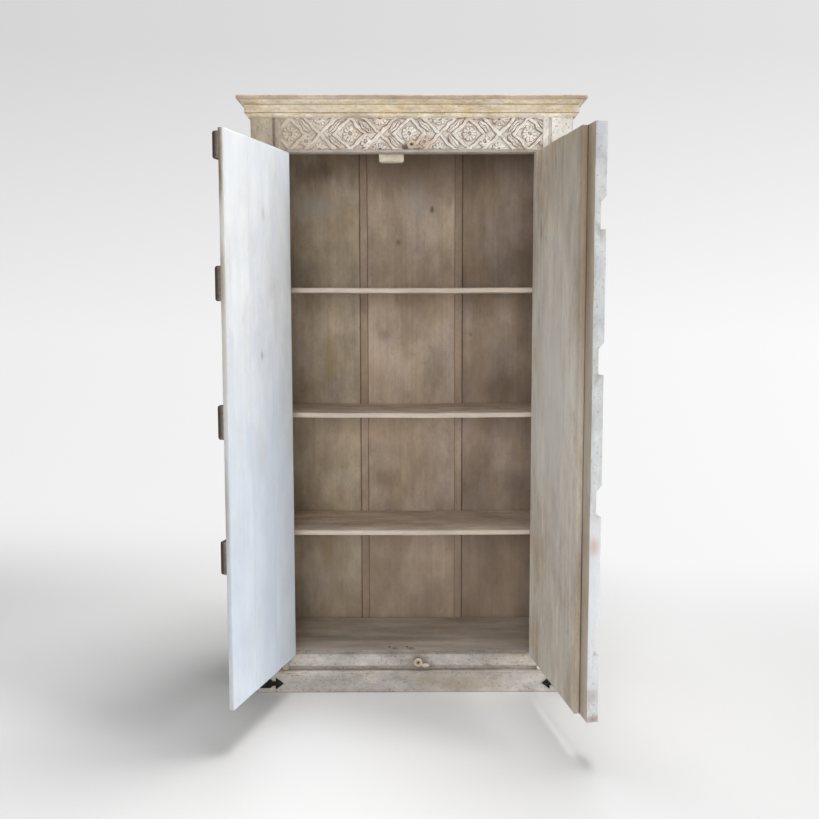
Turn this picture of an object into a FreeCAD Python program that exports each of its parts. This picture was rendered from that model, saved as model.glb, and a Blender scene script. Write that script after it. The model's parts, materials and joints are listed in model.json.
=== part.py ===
"""Whitewashed carved cabinet with two plank doors, three shelves and a moulded cornice.

Frame: +X to the viewer's right, +Y to the back, +Z up, millimetres. The origin is on the floor,
under the middle of the front frame's face. The doors stand open, as they were photographed.
"""
import FreeCAD, Part
import os
import re

import Sketcher

SIZES = {
    # carcass
    "overall_height": 1795, "frame_width": 944, "carcass_depth": 314,
    "side_thickness": 22, "back_thickness": 14, "back_foot": 30,
    "ceiling_drop": 2, "ceiling_thickness": 18,
    "floor_drop": 2, "floor_thickness": 18, "board_gap": 0.4,
    "left_back_joint": 162, "right_back_joint": 154,
    "batten_width": 26, "batten_thickness": 5,
    # shelves and the cleats that carry them
    "upper_shelf_top": 1245, "middle_shelf_top": 863, "lower_shelf_top": 493,
    "shelf_thickness": 15, "shelf_setback": 52,
    "cleat_height": 24, "cleat_thickness": 18, "cleat_setback": 20,
    # front frame
    "frame_thickness": 30, "stile_width": 89, "rail_height": 52, "frieze_height": 100,
    "stile_groove_inset": 19, "stile_groove_width": 6, "stile_groove_depth": 4,
    "rail_groove_height": 12, "rail_groove_depth": 8,
    "frieze_thickness": 12, "lip_height": 9, "lip_projection": 3,
    # plinth
    "plinth_height": 67, "plinth_projection": 8, "plinth_chamfer": 6,
    # cornice
    "bead_height": 12, "bead_start": 2, "bead_projection": 12,
    "fascia_height": 21, "fascia_projection": 15,
    "cove_height": 12, "cove_projection": 30,
    "top_board_thickness": 13, "top_board_projection": 35, "top_board_round": 5,
    # doors
    "door_gap": 3, "slab_thickness": 15, "slab_set_behind_axis": 11,
    "left_slab_short": 26, "right_slab_short": 14, "meeting_clearance": 0.6,
    "left_open_angle": 108.8, "right_open_angle": 100.6,
    "hinge_stile_width": 50, "hinge_stile_proud": 0.6,
    "post_width": 68, "post_thickness": 30, "post_ledge_gap": 2,
    "notch_first_drop": 178, "notch_length": 82, "notch_depth": 14, "notch_slope": 16,
    "ledge_first_drop": 5, "ledge_last_rise": 361, "ledge_height": 90, "ledge_thickness": 23,
    "top_ledge_height": 70, "ledge_chamfer": 4,
    "nail_radius": 4.5, "nail_rise": 2,
    # butt hinges
    "leaf_thickness": 1.5, "leaf_gap": 0.6, "leaf_height": 78, "leaf_margin": 2,
    "knuckle_radius": 4.5, "knuckle_gap": 0.3, "leaf_relief": 0.5,
    "pin_radius": 2.5, "pin_clearance": 0.05, "pin_head_radius": 4, "pin_head_height": 2,
    "hinge_end_distance": 170,
    # ironwork and small fittings
    "strap_thickness": 3, "strap_height": 29, "strap_center": 30, "strap_reach": 83,
    "strap_side_reach": 70, "neck_height": 14, "neck_length": 8, "shoulder_length": 8,
    "spear_height": 38, "spear_length": 25, "strap_screw_radius": 4, "strap_screw_rise": 1.5,
    "eye_radius": 13.5, "eye_hole_radius": 3, "eye_thickness": 8, "eye_round": 3,
    "eye_gap": 0.5, "upper_eye_offset": -1, "lower_eye_offset": 17,
    "stop_width": 74, "stop_depth": 24, "stop_height": 24, "stop_round": 8,
    "stop_offset": -61, "stop_clearance": 0.5,
    "floor_screw_radius": 4, "floor_screw_rise": 1,
    "floor_screw_offset": -46, "floor_screw_spread": 55, "floor_screw_setback": 55,
}

SHELVES = ("upper", "middle", "lower")
SIDES = {"left": -1, "right": 1}
PLANKS_PER_DOOR = 3
LEDGES_PER_DOOR = 4
NOTCHES = LEDGES_PER_DOOR

# Places worked out from the sizes, as text that a formula takes in.
HALF_FRAME = "(frame_width / 2)"
HALF_INSIDE = "(frame_width / 2 - side_thickness)"
HALF_OPENING = "(frame_width / 2 - stile_width)"
HALF_PLINTH = "(frame_width / 2 + plinth_projection)"
INSIDE_BACK = "(carcass_depth - back_thickness)"
CARCASS_TOP = "(overall_height - top_board_thickness)"
CORNICE_BOTTOM = f"({CARCASS_TOP} - cove_height - fascia_height - bead_height)"
HEAD_BOTTOM = f"({CORNICE_BOTTOM} - frieze_height)"
RAIL_TOP = "(plinth_height + rail_height)"
FLOOR_TOP = f"({RAIL_TOP} - floor_drop)"
RAIL_STEP = "(plinth_height + rail_groove_height)"
DOOR_FOOT = f"({RAIL_TOP} + door_gap)"
DOOR_HEAD = f"({HEAD_BOTTOM} - door_gap)"
KNUCKLE_ROOM = "(knuckle_radius + leaf_relief)"
AXIS_REACH = "(frame_width / 2 - stile_width - leaf_thickness - leaf_gap / 2)"
DOOR_HEEL = "(leaf_gap / 2 + leaf_thickness)"
SLAB_FRONT = "slab_set_behind_axis"
SLAB_BACK = "(slab_set_behind_axis + slab_thickness)"
POST_NEAR = f"({AXIS_REACH} - post_width / 2)"
LEDGE_START = f"({DOOR_HEEL} + hinge_stile_width)"
LEDGE_END = f"({POST_NEAR} - post_ledge_gap)"
LEDGE_FACE = "(slab_set_behind_axis - ledge_thickness)"
TOP_LEDGE_FOOT = f"({DOOR_HEAD} - ledge_first_drop - top_ledge_height)"
LEDGE_PITCH = f"(({TOP_LEDGE_FOOT} - {DOOR_FOOT} - ledge_last_rise) / {LEDGES_PER_DOOR - 1})"
EYE_HEIGHTS = {"upper": f"{HEAD_BOTTOM} + lip_height + eye_radius + eye_gap",
               "lower": f"{RAIL_STEP} + eye_radius + eye_gap"}
UP_TO_FRONT = FreeCAD.Rotation(FreeCAD.Vector(1, 0, 0), 90)

doc = FreeCAD.newDocument("cabinet")
sheet = doc.addObject("Spreadsheet::Sheet", "Sizes")
nodes = []


def fill_sheet():
    """Write each size into a cell of its own, under its name."""
    for row, (name, size) in enumerate(SIZES.items(), start=1):
        sheet.set(f"A{row}", name)
        sheet.set(f"B{row}", str(size))
        sheet.setAlias(f"B{row}", name)
    doc.recompute()


def formula(text):
    """Return the text with each size's name pointing at its cell."""
    return re.sub(r"[a-z_]+", lambda word: f"Sizes.{word.group()}"
                  if word.group() in SIZES else word.group(), text)


def bind(item, **settings):
    """Tie properties of a document object to formulas."""
    for name, text in settings.items():
        item.setExpression(name, formula(text))


def place(item, x="0", y="0", z="0"):
    """Tie an object's place to formulas."""
    for axis, text in zip("xyz", (x, y, z)):
        item.setExpression(f"Placement.Base.{axis}", formula(text))


def keep(item):
    """Count a finished object as a sub-part of the cabinet."""
    nodes.append(item)
    return item


def block(name, x, y, z, length, width, height):
    """Make a plain board from its low corner and its three sizes."""
    item = doc.addObject("Part::Box", name)
    bind(item, Length=length, Width=width, Height=height)
    place(item, x, y, z)
    return item


def rod(name, x, y, z, radius, height, turn=None):
    """Make a cylinder that stands up, or that turns to face the front."""
    item = doc.addObject("Part::Cylinder", name)
    if turn:
        item.Placement.Rotation = turn
    bind(item, Radius=radius, Height=height)
    place(item, x, y, z)
    return item


def stud(name, x, y, z, radius, rise, turn):
    """Make the low dome of a nail or screw head."""
    item = doc.addObject("Part::Cone", name)
    item.Placement.Rotation = turn
    bind(item, Radius1=radius, Radius2=f"{radius} / 2", Height=rise)
    place(item, x, y, z)
    return item


def group(name, pieces):
    """Join separate solids under one name."""
    item = doc.addObject("Part::Compound", name)
    item.Links = pieces
    return item


def cut(name, base, tool):
    """Take one solid away from another."""
    item = doc.addObject("Part::Cut", name)
    item.Base = base
    item.Tool = tool
    return item


def fuse(name, pieces):
    """Weld solids into one."""
    item = doc.addObject("Part::MultiFuse", name)
    item.Shapes = pieces
    return item


def common(name, first, second):
    """Keep what two solids share."""
    item = doc.addObject("Part::Common", name)
    item.Base = first
    item.Tool = second
    return item


def prism(name, plane, outline, start, length):
    """Pad a body from an outline of formulas, drawn on one of its origin planes."""
    body = doc.addObject("PartDesign::Body", name)
    support = [plane_ for plane_ in body.Origin.OriginFeatures if plane_.Role == plane][0]
    sketch = body.newObject("Sketcher::SketchObject", f"{name}_outline")
    sketch.AttachmentSupport = (support, [""])
    sketch.MapMode = "FlatFace"
    bind(sketch, **{"AttachmentOffset.Base.z": start})
    count = len(outline)
    turn = FreeCAD.Rotation(FreeCAD.Vector(0, 0, 1), 360 / count)
    corners = [FreeCAD.Vector(1, 0, 0)]
    for _ in range(count - 1):
        corners.append(turn.multVec(corners[-1]))
    for i in range(count):
        sketch.addGeometry(Part.LineSegment(corners[i], corners[(i + 1) % count]), False)
    for i, (across, up) in enumerate(outline):
        sketch.addConstraint(Sketcher.Constraint("Coincident", i, 2, (i + 1) % count, 1))
        for kind, text in (("DistanceX", across), ("DistanceY", up)):
            index = sketch.addConstraint(Sketcher.Constraint(kind, -1, 1, i, 1, 1.0))
            sketch.renameConstraint(index, f"{kind}_{i}")
            sketch.setExpression(f"Constraints.{kind}_{i}", formula(text))
    pad = body.newObject("PartDesign::Pad", f"{name}_pad")
    pad.Profile = sketch
    bind(pad, Length=length)
    return body


def rounded(name, base, radius, wanted):
    """Round the edges of a solid whose middle passes the wanted test."""
    doc.recompute()
    box = base.Shape.BoundBox
    edges = [i for i, edge in enumerate(base.Shape.Edges, start=1) if wanted(edge, box)]
    item = doc.addObject("Part::Fillet", name)
    item.Base = base
    item.Edges = [(i, sheet.get(radius), sheet.get(radius)) for i in edges]
    return item


def build_carcass():
    """Make the sides, ceiling, floor, back boards and battens."""
    for side, sign in SIDES.items():
        inner = HALF_INSIDE if sign > 0 else f"-{HALF_FRAME}"
        keep(block(f"{side}_side_panel", inner, "frame_thickness", "0", "side_thickness",
                   "carcass_depth - frame_thickness", CARCASS_TOP))
    inside_width = f"2 * {HALF_INSIDE} - board_gap"
    inside_left = f"-{HALF_INSIDE} + board_gap / 2"
    inside_depth = f"{INSIDE_BACK} - batten_thickness - frame_thickness"
    keep(block("ceiling_board", inside_left, "frame_thickness",
               f"{CORNICE_BOTTOM} - ceiling_drop - ceiling_thickness", inside_width, inside_depth,
               "ceiling_thickness"))
    keep(block("floor_board", inside_left, "frame_thickness", f"{FLOOR_TOP} - floor_thickness",
               inside_width, inside_depth, "floor_thickness"))
    keep(group("floor_cleats", [
        block(f"{side}_floor_cleat", f"{HALF_INSIDE} - cleat_thickness" if sign > 0 else f"-{HALF_INSIDE}",
              "frame_thickness", f"{FLOOR_TOP} - floor_thickness - cleat_height", "cleat_thickness",
              inside_depth, "cleat_height") for side, sign in SIDES.items()]))
    joints = [f"-{HALF_INSIDE}", "-left_back_joint", "right_back_joint", HALF_INSIDE]
    for name, low, high in zip(("left", "center", "right"), joints, joints[1:]):
        keep(block(f"back_board_{name}", f"{low} + board_gap / 2", INSIDE_BACK, "back_foot",
                   f"{high} - ({low}) - board_gap", "back_thickness", f"{CARCASS_TOP} - back_foot"))
    for name, joint in zip(SIDES, joints[1:3]):
        keep(block(f"back_batten_{name}", f"{joint} - batten_width / 2",
                   f"{INSIDE_BACK} - batten_thickness", "back_foot", "batten_width",
                   "batten_thickness", f"{CARCASS_TOP} - back_foot"))


def build_shelves():
    """Make the shelves, and the cleats under both of their ends."""
    depth = f"{INSIDE_BACK} - batten_thickness - shelf_setback"
    cleats = []
    for name in SHELVES:
        bottom = f"{name}_shelf_top - shelf_thickness"
        keep(block(f"shelf_{name}", f"-{HALF_INSIDE} + board_gap / 2", "shelf_setback", bottom,
                   f"2 * {HALF_INSIDE} - board_gap", depth, "shelf_thickness"))
        for side, sign in SIDES.items():
            start = f"{HALF_INSIDE} - cleat_thickness" if sign > 0 else f"-{HALF_INSIDE}"
            cleats.append(block(f"{side}_{name}_shelf_cleat", start, "shelf_setback + cleat_setback",
                                f"{bottom} - cleat_height", "cleat_thickness",
                                f"{depth} - cleat_setback", "cleat_height"))
    keep(group("shelf_cleats", cleats))


def build_front_frame():
    """Make the grooved stiles, the rails, the frieze board and its lip, and the plinth."""
    for side, sign in SIDES.items():
        outline = [(HALF_OPENING, "0"), (f"{HALF_OPENING} + stile_groove_inset", "0"),
                   (f"{HALF_OPENING} + stile_groove_inset", "stile_groove_depth"),
                   (f"{HALF_OPENING} + stile_groove_inset + stile_groove_width", "stile_groove_depth"),
                   (f"{HALF_OPENING} + stile_groove_inset + stile_groove_width", "0"),
                   (HALF_FRAME, "0"), (HALF_FRAME, "frame_thickness"), (HALF_OPENING, "frame_thickness")]
        sided = [(f"{sign} * ({across})", up) for across, up in outline]
        keep(prism(f"{side}_stile", "XY_Plane", sided, "plinth_height", f"{CARCASS_TOP} - plinth_height"))
    width = f"2 * {HALF_OPENING}"
    left = f"-{HALF_OPENING}"
    keep(block("top_rail", left, "frieze_thickness", HEAD_BOTTOM, width,
               "frame_thickness - frieze_thickness", f"{CARCASS_TOP} - {HEAD_BOTTOM}"))
    keep(block("carved_frieze", left, "0", f"{HEAD_BOTTOM} + lip_height", width, "frieze_thickness",
               f"{CARCASS_TOP} - {HEAD_BOTTOM} - lip_height"))
    keep(block("frieze_lip", left, "-lip_projection", HEAD_BOTTOM, width,
               "frieze_thickness + lip_projection", "lip_height"))
    keep(prism("bottom_rail", "YZ_Plane",
               [("rail_groove_depth", "plinth_height"), ("frame_thickness", "plinth_height"),
                ("frame_thickness", RAIL_TOP), ("0", RAIL_TOP), ("0", RAIL_STEP),
                ("rail_groove_depth", RAIL_STEP)], left, width))
    keep(prism("plinth_front", "YZ_Plane",
               [("-plinth_projection", "0"), ("frame_thickness", "0"), ("frame_thickness", "plinth_height"),
                ("-plinth_projection + plinth_chamfer", "plinth_height"),
                ("-plinth_projection", "plinth_height - plinth_chamfer")],
               f"-{HALF_PLINTH}", f"2 * {HALF_PLINTH}"))
    for side, sign in SIDES.items():
        start = HALF_FRAME if sign > 0 else f"-{HALF_PLINTH}"
        keep(block(f"plinth_{side}", start, "frame_thickness", "0", "plinth_projection",
                   "carcass_depth - frame_thickness", "plinth_height"))


def cornice_profile(face):
    """Return the moulding's outline, where face turns a projection into a place."""
    bead_top = f"{CORNICE_BOTTOM} + bead_height"
    fascia_top = f"{CARCASS_TOP} - cove_height"
    return [(face("0"), CORNICE_BOTTOM), (face("bead_start"), CORNICE_BOTTOM),
            (face("bead_projection"), bead_top), (face("fascia_projection"), bead_top),
            (face("fascia_projection"), fascia_top), (face("cove_projection"), CARCASS_TOP),
            (face("0"), CARCASS_TOP)]


def build_cornice():
    """Make the mitred front and side mouldings and the top board that covers them."""
    ahead = f"{HALF_FRAME} + cove_projection"
    run = prism("cornice_front_run", "YZ_Plane", cornice_profile(lambda out: f"-{out}"), f"-({ahead})",
                f"2 * ({ahead})")
    plan = prism("cornice_front_plan", "XY_Plane",
                 [(f"-{HALF_FRAME}", "0"), (f"-({ahead})", "-cove_projection"),
                  (ahead, "-cove_projection"), (HALF_FRAME, "0")],
                 CORNICE_BOTTOM, f"{CARCASS_TOP} - {CORNICE_BOTTOM}")
    keep(common("cornice_front", run, plan))
    for side, sign in SIDES.items():
        run = prism(f"cornice_{side}_run", "XZ_Plane",
                    cornice_profile(lambda out: f"{sign} * ({HALF_FRAME} + {out})"), "-carcass_depth",
                    "carcass_depth + cove_projection")
        edge, outer = f"{sign} * {HALF_FRAME}", f"{sign} * ({ahead})"
        plan = prism(f"cornice_{side}_plan", "XY_Plane",
                     [(edge, "0"), (outer, "-cove_projection"), (outer, "carcass_depth"),
                      (edge, "carcass_depth")],
                     CORNICE_BOTTOM, f"{CARCASS_TOP} - {CORNICE_BOTTOM}")
        keep(common(f"cornice_{side}", run, plan))
    board = block("top_board_blank", f"-{HALF_FRAME} - top_board_projection", "-top_board_projection",
                  CARCASS_TOP, "frame_width + 2 * top_board_projection",
                  "carcass_depth + top_board_projection", "top_board_thickness")
    keep(rounded("cornice_top_board", board, "top_board_round", lambda edge, box:
                 edge.CenterOfMass.y < box.YMax - 1 and edge.BoundBox.ZLength < 1))


def build_ironwork():
    """Make the spear-tipped corner straps with their screws, and the two latch eyes."""
    screws = []
    low, high = "strap_center - strap_height / 2", "strap_center + strap_height / 2"
    tip = f"{HALF_PLINTH} - strap_reach"
    barb = f"{tip} + spear_length"
    neck = f"{barb} + neck_length"
    shoulder = f"{neck} + shoulder_length"
    corner = f"{HALF_PLINTH} + strap_thickness"
    upper = [(corner, high), (shoulder, high), (neck, "strap_center + neck_height / 2"),
             (barb, "strap_center + neck_height / 2"), (barb, "strap_center + spear_height / 2")]
    lower = [(barb, "strap_center - spear_height / 2"), (barb, "strap_center - neck_height / 2"),
             (neck, "strap_center - neck_height / 2"), (shoulder, low), (corner, low)]
    outline = upper + [(tip, "strap_center")] + lower
    for side, sign in SIDES.items():
        front = prism(f"{side}_strap_front", "XZ_Plane", [(f"{sign} * ({x})", z) for x, z in outline],
                      "plinth_projection", "strap_thickness")
        start = HALF_PLINTH if sign > 0 else f"-({corner})"
        back = block(f"{side}_strap_side", start, "-plinth_projection - strap_thickness", low,
                     "strap_thickness", "strap_side_reach", "strap_height")
        keep(fuse(f"{side}_corner_strap", [front, back]))
        reaches = {"near": f"{shoulder} + strap_height / 2", "tip": f"{barb} - spear_length / 4"}
        for name, reach in reaches.items():
            screws.append(stud(f"{side}_{name}_front_screw", f"{sign} * ({reach})",
                               "-plinth_projection - strap_thickness", "strap_center",
                               "strap_screw_radius", "strap_screw_rise", UP_TO_FRONT))
        outward = FreeCAD.Rotation(FreeCAD.Vector(0, 1, 0), 90 * sign)
        screws.append(stud(f"{side}_side_screw", f"{sign} * ({corner})",
                           "strap_side_reach - plinth_projection - strap_thickness - strap_height / 2",
                           "strap_center", "strap_screw_radius", "strap_screw_rise", outward))
    keep(group("strap_screws", screws))
    for name, height in EYE_HEIGHTS.items():
        spot = (f"{name}_eye_offset", "0", height)
        disc = rod(f"{name}_eye_disc", *spot, "eye_radius", "eye_thickness", UP_TO_FRONT)
        hole = rod(f"{name}_eye_hole", *spot, "eye_hole_radius", "eye_thickness", UP_TO_FRONT)
        ring = cut(f"{name}_eye_ring", disc, hole)
        keep(rounded(f"{name}_latch_eye", ring, "eye_round", lambda edge, box:
                     edge.CenterOfMass.y < box.YMin + 0.1 and edge.BoundBox.XLength > box.XLength - 0.1))


def build_fittings():
    """Make the stop that the left door closes against and the screws left in the floor."""
    blank = block("stop_blank", "stop_offset - stop_width / 2",
                  f"{SLAB_BACK} - {KNUCKLE_ROOM} + stop_clearance", f"{HEAD_BOTTOM} - stop_height",
                  "stop_width", "stop_depth", "stop_height")
    keep(rounded("door_stop_block", blank, "stop_round", lambda edge, box:
                 edge.CenterOfMass.z < box.ZMin + 1 or
                 (edge.BoundBox.ZLength > 1 and edge.CenterOfMass.y > box.YMax - 1)))
    keep(group("floor_screws", [
        stud(f"{side}_floor_screw", f"floor_screw_offset + {sign} * floor_screw_spread / 2",
             "floor_screw_setback", FLOOR_TOP, "floor_screw_radius", "floor_screw_rise",
             FreeCAD.Rotation()) for side, sign in SIDES.items()]))


def hinge_feet():
    """Return the foot of each butt hinge on a door, from the lowest up."""
    low = f"{DOOR_FOOT} + hinge_end_distance"
    high = f"{DOOR_HEAD} - hinge_end_distance - leaf_height"
    return [low, f"(({low}) + ({high})) / 2", high]


def hinge_half(name, sign, foot, on_door):
    """Make one leaf of a butt hinge about its own axis, with its knuckles and bore."""
    third = "leaf_height / 3"
    spans = [(f"{foot} + {third} + knuckle_gap", f"{third} - 2 * knuckle_gap")] if on_door else [
        (foot, third), (f"{foot} + 2 * {third}", third)]
    near = "leaf_gap / 2" if on_door else "-leaf_gap / 2 - leaf_thickness"
    start = near if sign < 0 else f"-({near}) - leaf_thickness"
    depth = f"{SLAB_BACK} - {KNUCKLE_ROOM} - leaf_margin"
    pieces = [block(f"{name}_plate", start, KNUCKLE_ROOM, foot, "leaf_thickness", depth, "leaf_height")]
    for i, (low, height) in enumerate(spans):
        pieces.append(block(f"{name}_neck_{i}", start, "0", low, "leaf_thickness", KNUCKLE_ROOM, height))
        pieces.append(rod(f"{name}_knuckle_{i}", "0", "0", low, "knuckle_radius", height))
    bore = rod(f"{name}_bore", "0", "0", foot, "pin_radius + pin_clearance", "leaf_height")
    return cut(name, fuse(f"{name}_blank", pieces), bore)


def hang(item, sign, turned):
    """Put a piece drawn about a door's hinge axis where that axis is."""
    angle = {-1: -sheet.get("left_open_angle"), 1: sheet.get("right_open_angle")}[sign]
    item.Placement.Rotation = FreeCAD.Rotation(FreeCAD.Vector(0, 0, 1), angle if turned else 0)
    place(item, f"{sign} * {AXIS_REACH}", f"-{KNUCKLE_ROOM}")
    return item


def build_hinges():
    """Make the butt hinges: frame leaves and pins on the cabinet, door leaves on the doors."""
    frame_leaves, pins = [], []
    for side, sign in SIDES.items():
        door_leaves, side_leaves, side_pins = [], [], []
        for i, foot in enumerate(hinge_feet()):
            name = f"{side}_hinge_{i}"
            side_leaves.append(hinge_half(f"{name}_frame_leaf", sign, foot, False))
            door_leaves.append(hinge_half(f"{name}_door_leaf", sign, foot, True))
            side_pins.append(fuse(f"{name}_pin", [
                rod(f"{name}_pin_shank", "0", "0", foot, "pin_radius", "leaf_height"),
                rod(f"{name}_pin_head", "0", "0", f"{foot} + leaf_height", "pin_head_radius",
                    "pin_head_height")]))
        keep(hang(group(f"{side}_hinge_door_leaves", door_leaves), sign, True))
        frame_leaves.append(hang(group(f"{side}_frame_leaves", side_leaves), sign, False))
        pins.append(hang(group(f"{side}_pins", side_pins), sign, False))
    keep(group("hinge_frame_leaves", frame_leaves))
    keep(group("hinge_pins", pins))


def door_bar(name, sign, plane, outline, start, length):
    """Pad a door piece about its hinge axis, with distances across counted from the axis."""
    if plane == "YZ_Plane":
        start = start if sign < 0 else f"-({start}) - ({length})"
    else:
        outline = [(f"{-sign} * ({across})", up) for across, up in outline]
    return keep(hang(prism(name, plane, outline, start, length), sign, True))


def ledge_spans():
    """Return the foot and height of each ledge, from the top one down."""
    spans = [(TOP_LEDGE_FOOT, "top_ledge_height")]
    for i in range(1, LEDGES_PER_DOOR):
        spans.append((f"{TOP_LEDGE_FOOT} - {i} * {LEDGE_PITCH}", "ledge_height"))
    return spans


def build_door(side, sign):
    """Make a door's planks, hinge stile, ledges and nails."""
    reach = f"({AXIS_REACH} - {side}_slab_short)"
    front = SLAB_FRONT if sign > 0 else f"({SLAB_FRONT} + meeting_clearance)"
    height = f"{DOOR_HEAD} - {DOOR_FOOT}"
    pitch = f"(({reach} - {DOOR_HEEL}) / {PLANKS_PER_DOOR})"
    middles = []
    for i in range(PLANKS_PER_DOOR):
        near = f"({DOOR_HEEL} + {i} * {pitch})"
        far = f"({near} + {pitch} - {'0' if i == PLANKS_PER_DOOR - 1 else 'board_gap'})"
        door_bar(f"{side}_door_plank_{i + 1}", sign, "XY_Plane",
                 [(near, front), (far, front), (far, SLAB_BACK), (near, SLAB_BACK)], DOOR_FOOT, height)
        middles.append(f"({near} + {far}) / 2")
    face = "-hinge_stile_proud"
    door_bar(f"{side}_door_hinge_stile", sign, "XY_Plane",
             [(DOOR_HEEL, front), (LEDGE_START, front), (LEDGE_START, face), (KNUCKLE_ROOM, face),
              (KNUCKLE_ROOM, KNUCKLE_ROOM), (DOOR_HEEL, KNUCKLE_ROOM)], DOOR_FOOT, height)
    middles[0] = f"({LEDGE_START} + {middles[0]}) / 2"
    nails = []
    for i, (foot, tall) in enumerate(ledge_spans(), start=1):
        top = f"{foot} + {tall}"
        door_bar(f"{side}_door_ledge_{i}", sign, "YZ_Plane",
                 [(front, foot), (front, top), (f"{LEDGE_FACE} + ledge_chamfer", top),
                  (LEDGE_FACE, f"{top} - ledge_chamfer"), (LEDGE_FACE, f"{foot} + ledge_chamfer"),
                  (f"{LEDGE_FACE} + ledge_chamfer", foot)], LEDGE_START, f"{LEDGE_END} - {LEDGE_START}")
        for k, across in enumerate(middles, start=1):
            nails.append(stud(f"{side}_nail_{i}_{k}", f"{-sign} * ({across})", LEDGE_FACE,
                              f"{foot} + {tall} / 2", "nail_radius", "nail_rise", UP_TO_FRONT))
    keep(hang(group(f"{side}_door_nails", nails), sign, True))


def build_post():
    """Make the notched post on the right door, which covers the meeting edges."""
    face = "(slab_set_behind_axis - post_thickness)"
    outline = [(SLAB_FRONT, DOOR_FOOT), (SLAB_FRONT, DOOR_HEAD), (face, DOOR_HEAD)]
    for i in range(NOTCHES):
        top = f"({DOOR_HEAD} - notch_first_drop - {i} * {LEDGE_PITCH})"
        floor = f"{face} + notch_depth"
        outline += [(face, top), (floor, f"{top} - notch_slope"), (floor, f"{top} - notch_length"),
                    (face, f"{top} - notch_length")]
    outline.append((face, DOOR_FOOT))
    door_bar("right_door_post", SIDES["right"], "YZ_Plane", outline, POST_NEAR, "post_width")


def check_model():
    """Stop if an object failed, or a sub-part has no sound shape."""
    for item in doc.Objects:
        if "Invalid" in item.State or "Error" in item.State:
            raise RuntimeError(f"{item.Label} failed: {item.State}")
    for item in nodes:
        if item.Shape.isNull() or not item.Shape.isValid():
            raise RuntimeError(f"{item.Label} has no valid shape")


def main():
    """Build the cabinet and write one STEP file for each sub-part."""
    fill_sheet()
    build_carcass()
    build_shelves()
    build_front_frame()
    build_cornice()
    build_ironwork()
    build_fittings()
    build_hinges()
    for side, sign in SIDES.items():
        build_door(side, sign)
    build_post()
    doc.recompute()
    check_model()
    os.makedirs("parts", exist_ok=True)
    for item in nodes:
        item.Shape.exportStep(f"parts/{item.Label}.step")
    print(f"{len(nodes)} sub-parts written")


main()
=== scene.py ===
"""Whitewashed two-door cabinet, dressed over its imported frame.

Worn limewash lies on hand-planed boards, a carved frieze runs under a moulded cornice, and the corners of
the plinth carry black iron straps. Metres, with +X to the viewer's right, +Y to the back and +Z up.
"""
from __future__ import annotations

import json
import logging
import math
from collections.abc import Callable, Iterable
from dataclasses import dataclass, field, replace
from enum import Enum

import bmesh
import bpy
import numpy as np
from mathutils import Matrix, Vector, noise


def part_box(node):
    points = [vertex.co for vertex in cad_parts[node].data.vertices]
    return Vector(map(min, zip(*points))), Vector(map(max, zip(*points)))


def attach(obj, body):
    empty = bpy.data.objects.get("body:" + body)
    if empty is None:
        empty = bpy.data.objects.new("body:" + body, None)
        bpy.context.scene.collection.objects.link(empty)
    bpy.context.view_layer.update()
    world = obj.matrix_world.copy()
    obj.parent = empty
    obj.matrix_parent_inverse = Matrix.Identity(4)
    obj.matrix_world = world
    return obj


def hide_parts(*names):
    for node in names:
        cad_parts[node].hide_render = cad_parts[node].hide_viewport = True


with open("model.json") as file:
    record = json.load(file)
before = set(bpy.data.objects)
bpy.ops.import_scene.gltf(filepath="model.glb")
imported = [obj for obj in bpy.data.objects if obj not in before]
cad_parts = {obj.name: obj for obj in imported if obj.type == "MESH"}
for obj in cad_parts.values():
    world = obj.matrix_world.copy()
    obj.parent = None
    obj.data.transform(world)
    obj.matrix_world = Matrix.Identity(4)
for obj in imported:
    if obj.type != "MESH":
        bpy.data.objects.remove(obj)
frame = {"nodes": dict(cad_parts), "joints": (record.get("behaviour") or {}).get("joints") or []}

log = logging.getLogger("cabinet")

Colour = tuple[int, int, int]
Spot = tuple[float, float, float]
PHOTO_PIXELS = 819
SHARP_EDGE = math.radians(35)
BOARD_SHIFT = (3.7, 5.3, 2.9)
NOISE_SEED = 5


class Grain(Enum):
    """The direction that a board's fibres run in, as the number of an axis."""

    ACROSS = 0
    DEEP = 1
    UPRIGHT = 2


class Side(Enum):
    """The two sides of the cabinet, as the sign of X."""

    LEFT = -1
    RIGHT = 1

    @property
    def word(self) -> str:
        """Return the side's name as the nodes write it."""
        return self.name.lower()


def tone(colour: Colour) -> Spot:
    """Turn a colour as it looks into the linear one that a shader takes.

    Args:
        colour: Red, green and blue from 0 to 255.

    Returns:
        The linear colour.
    """
    levels = (level / 255 for level in colour)
    return tuple(level / 12.92 if level <= 0.04045 else ((level + 0.055) / 1.055) ** 2.4 for level in levels)


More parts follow.
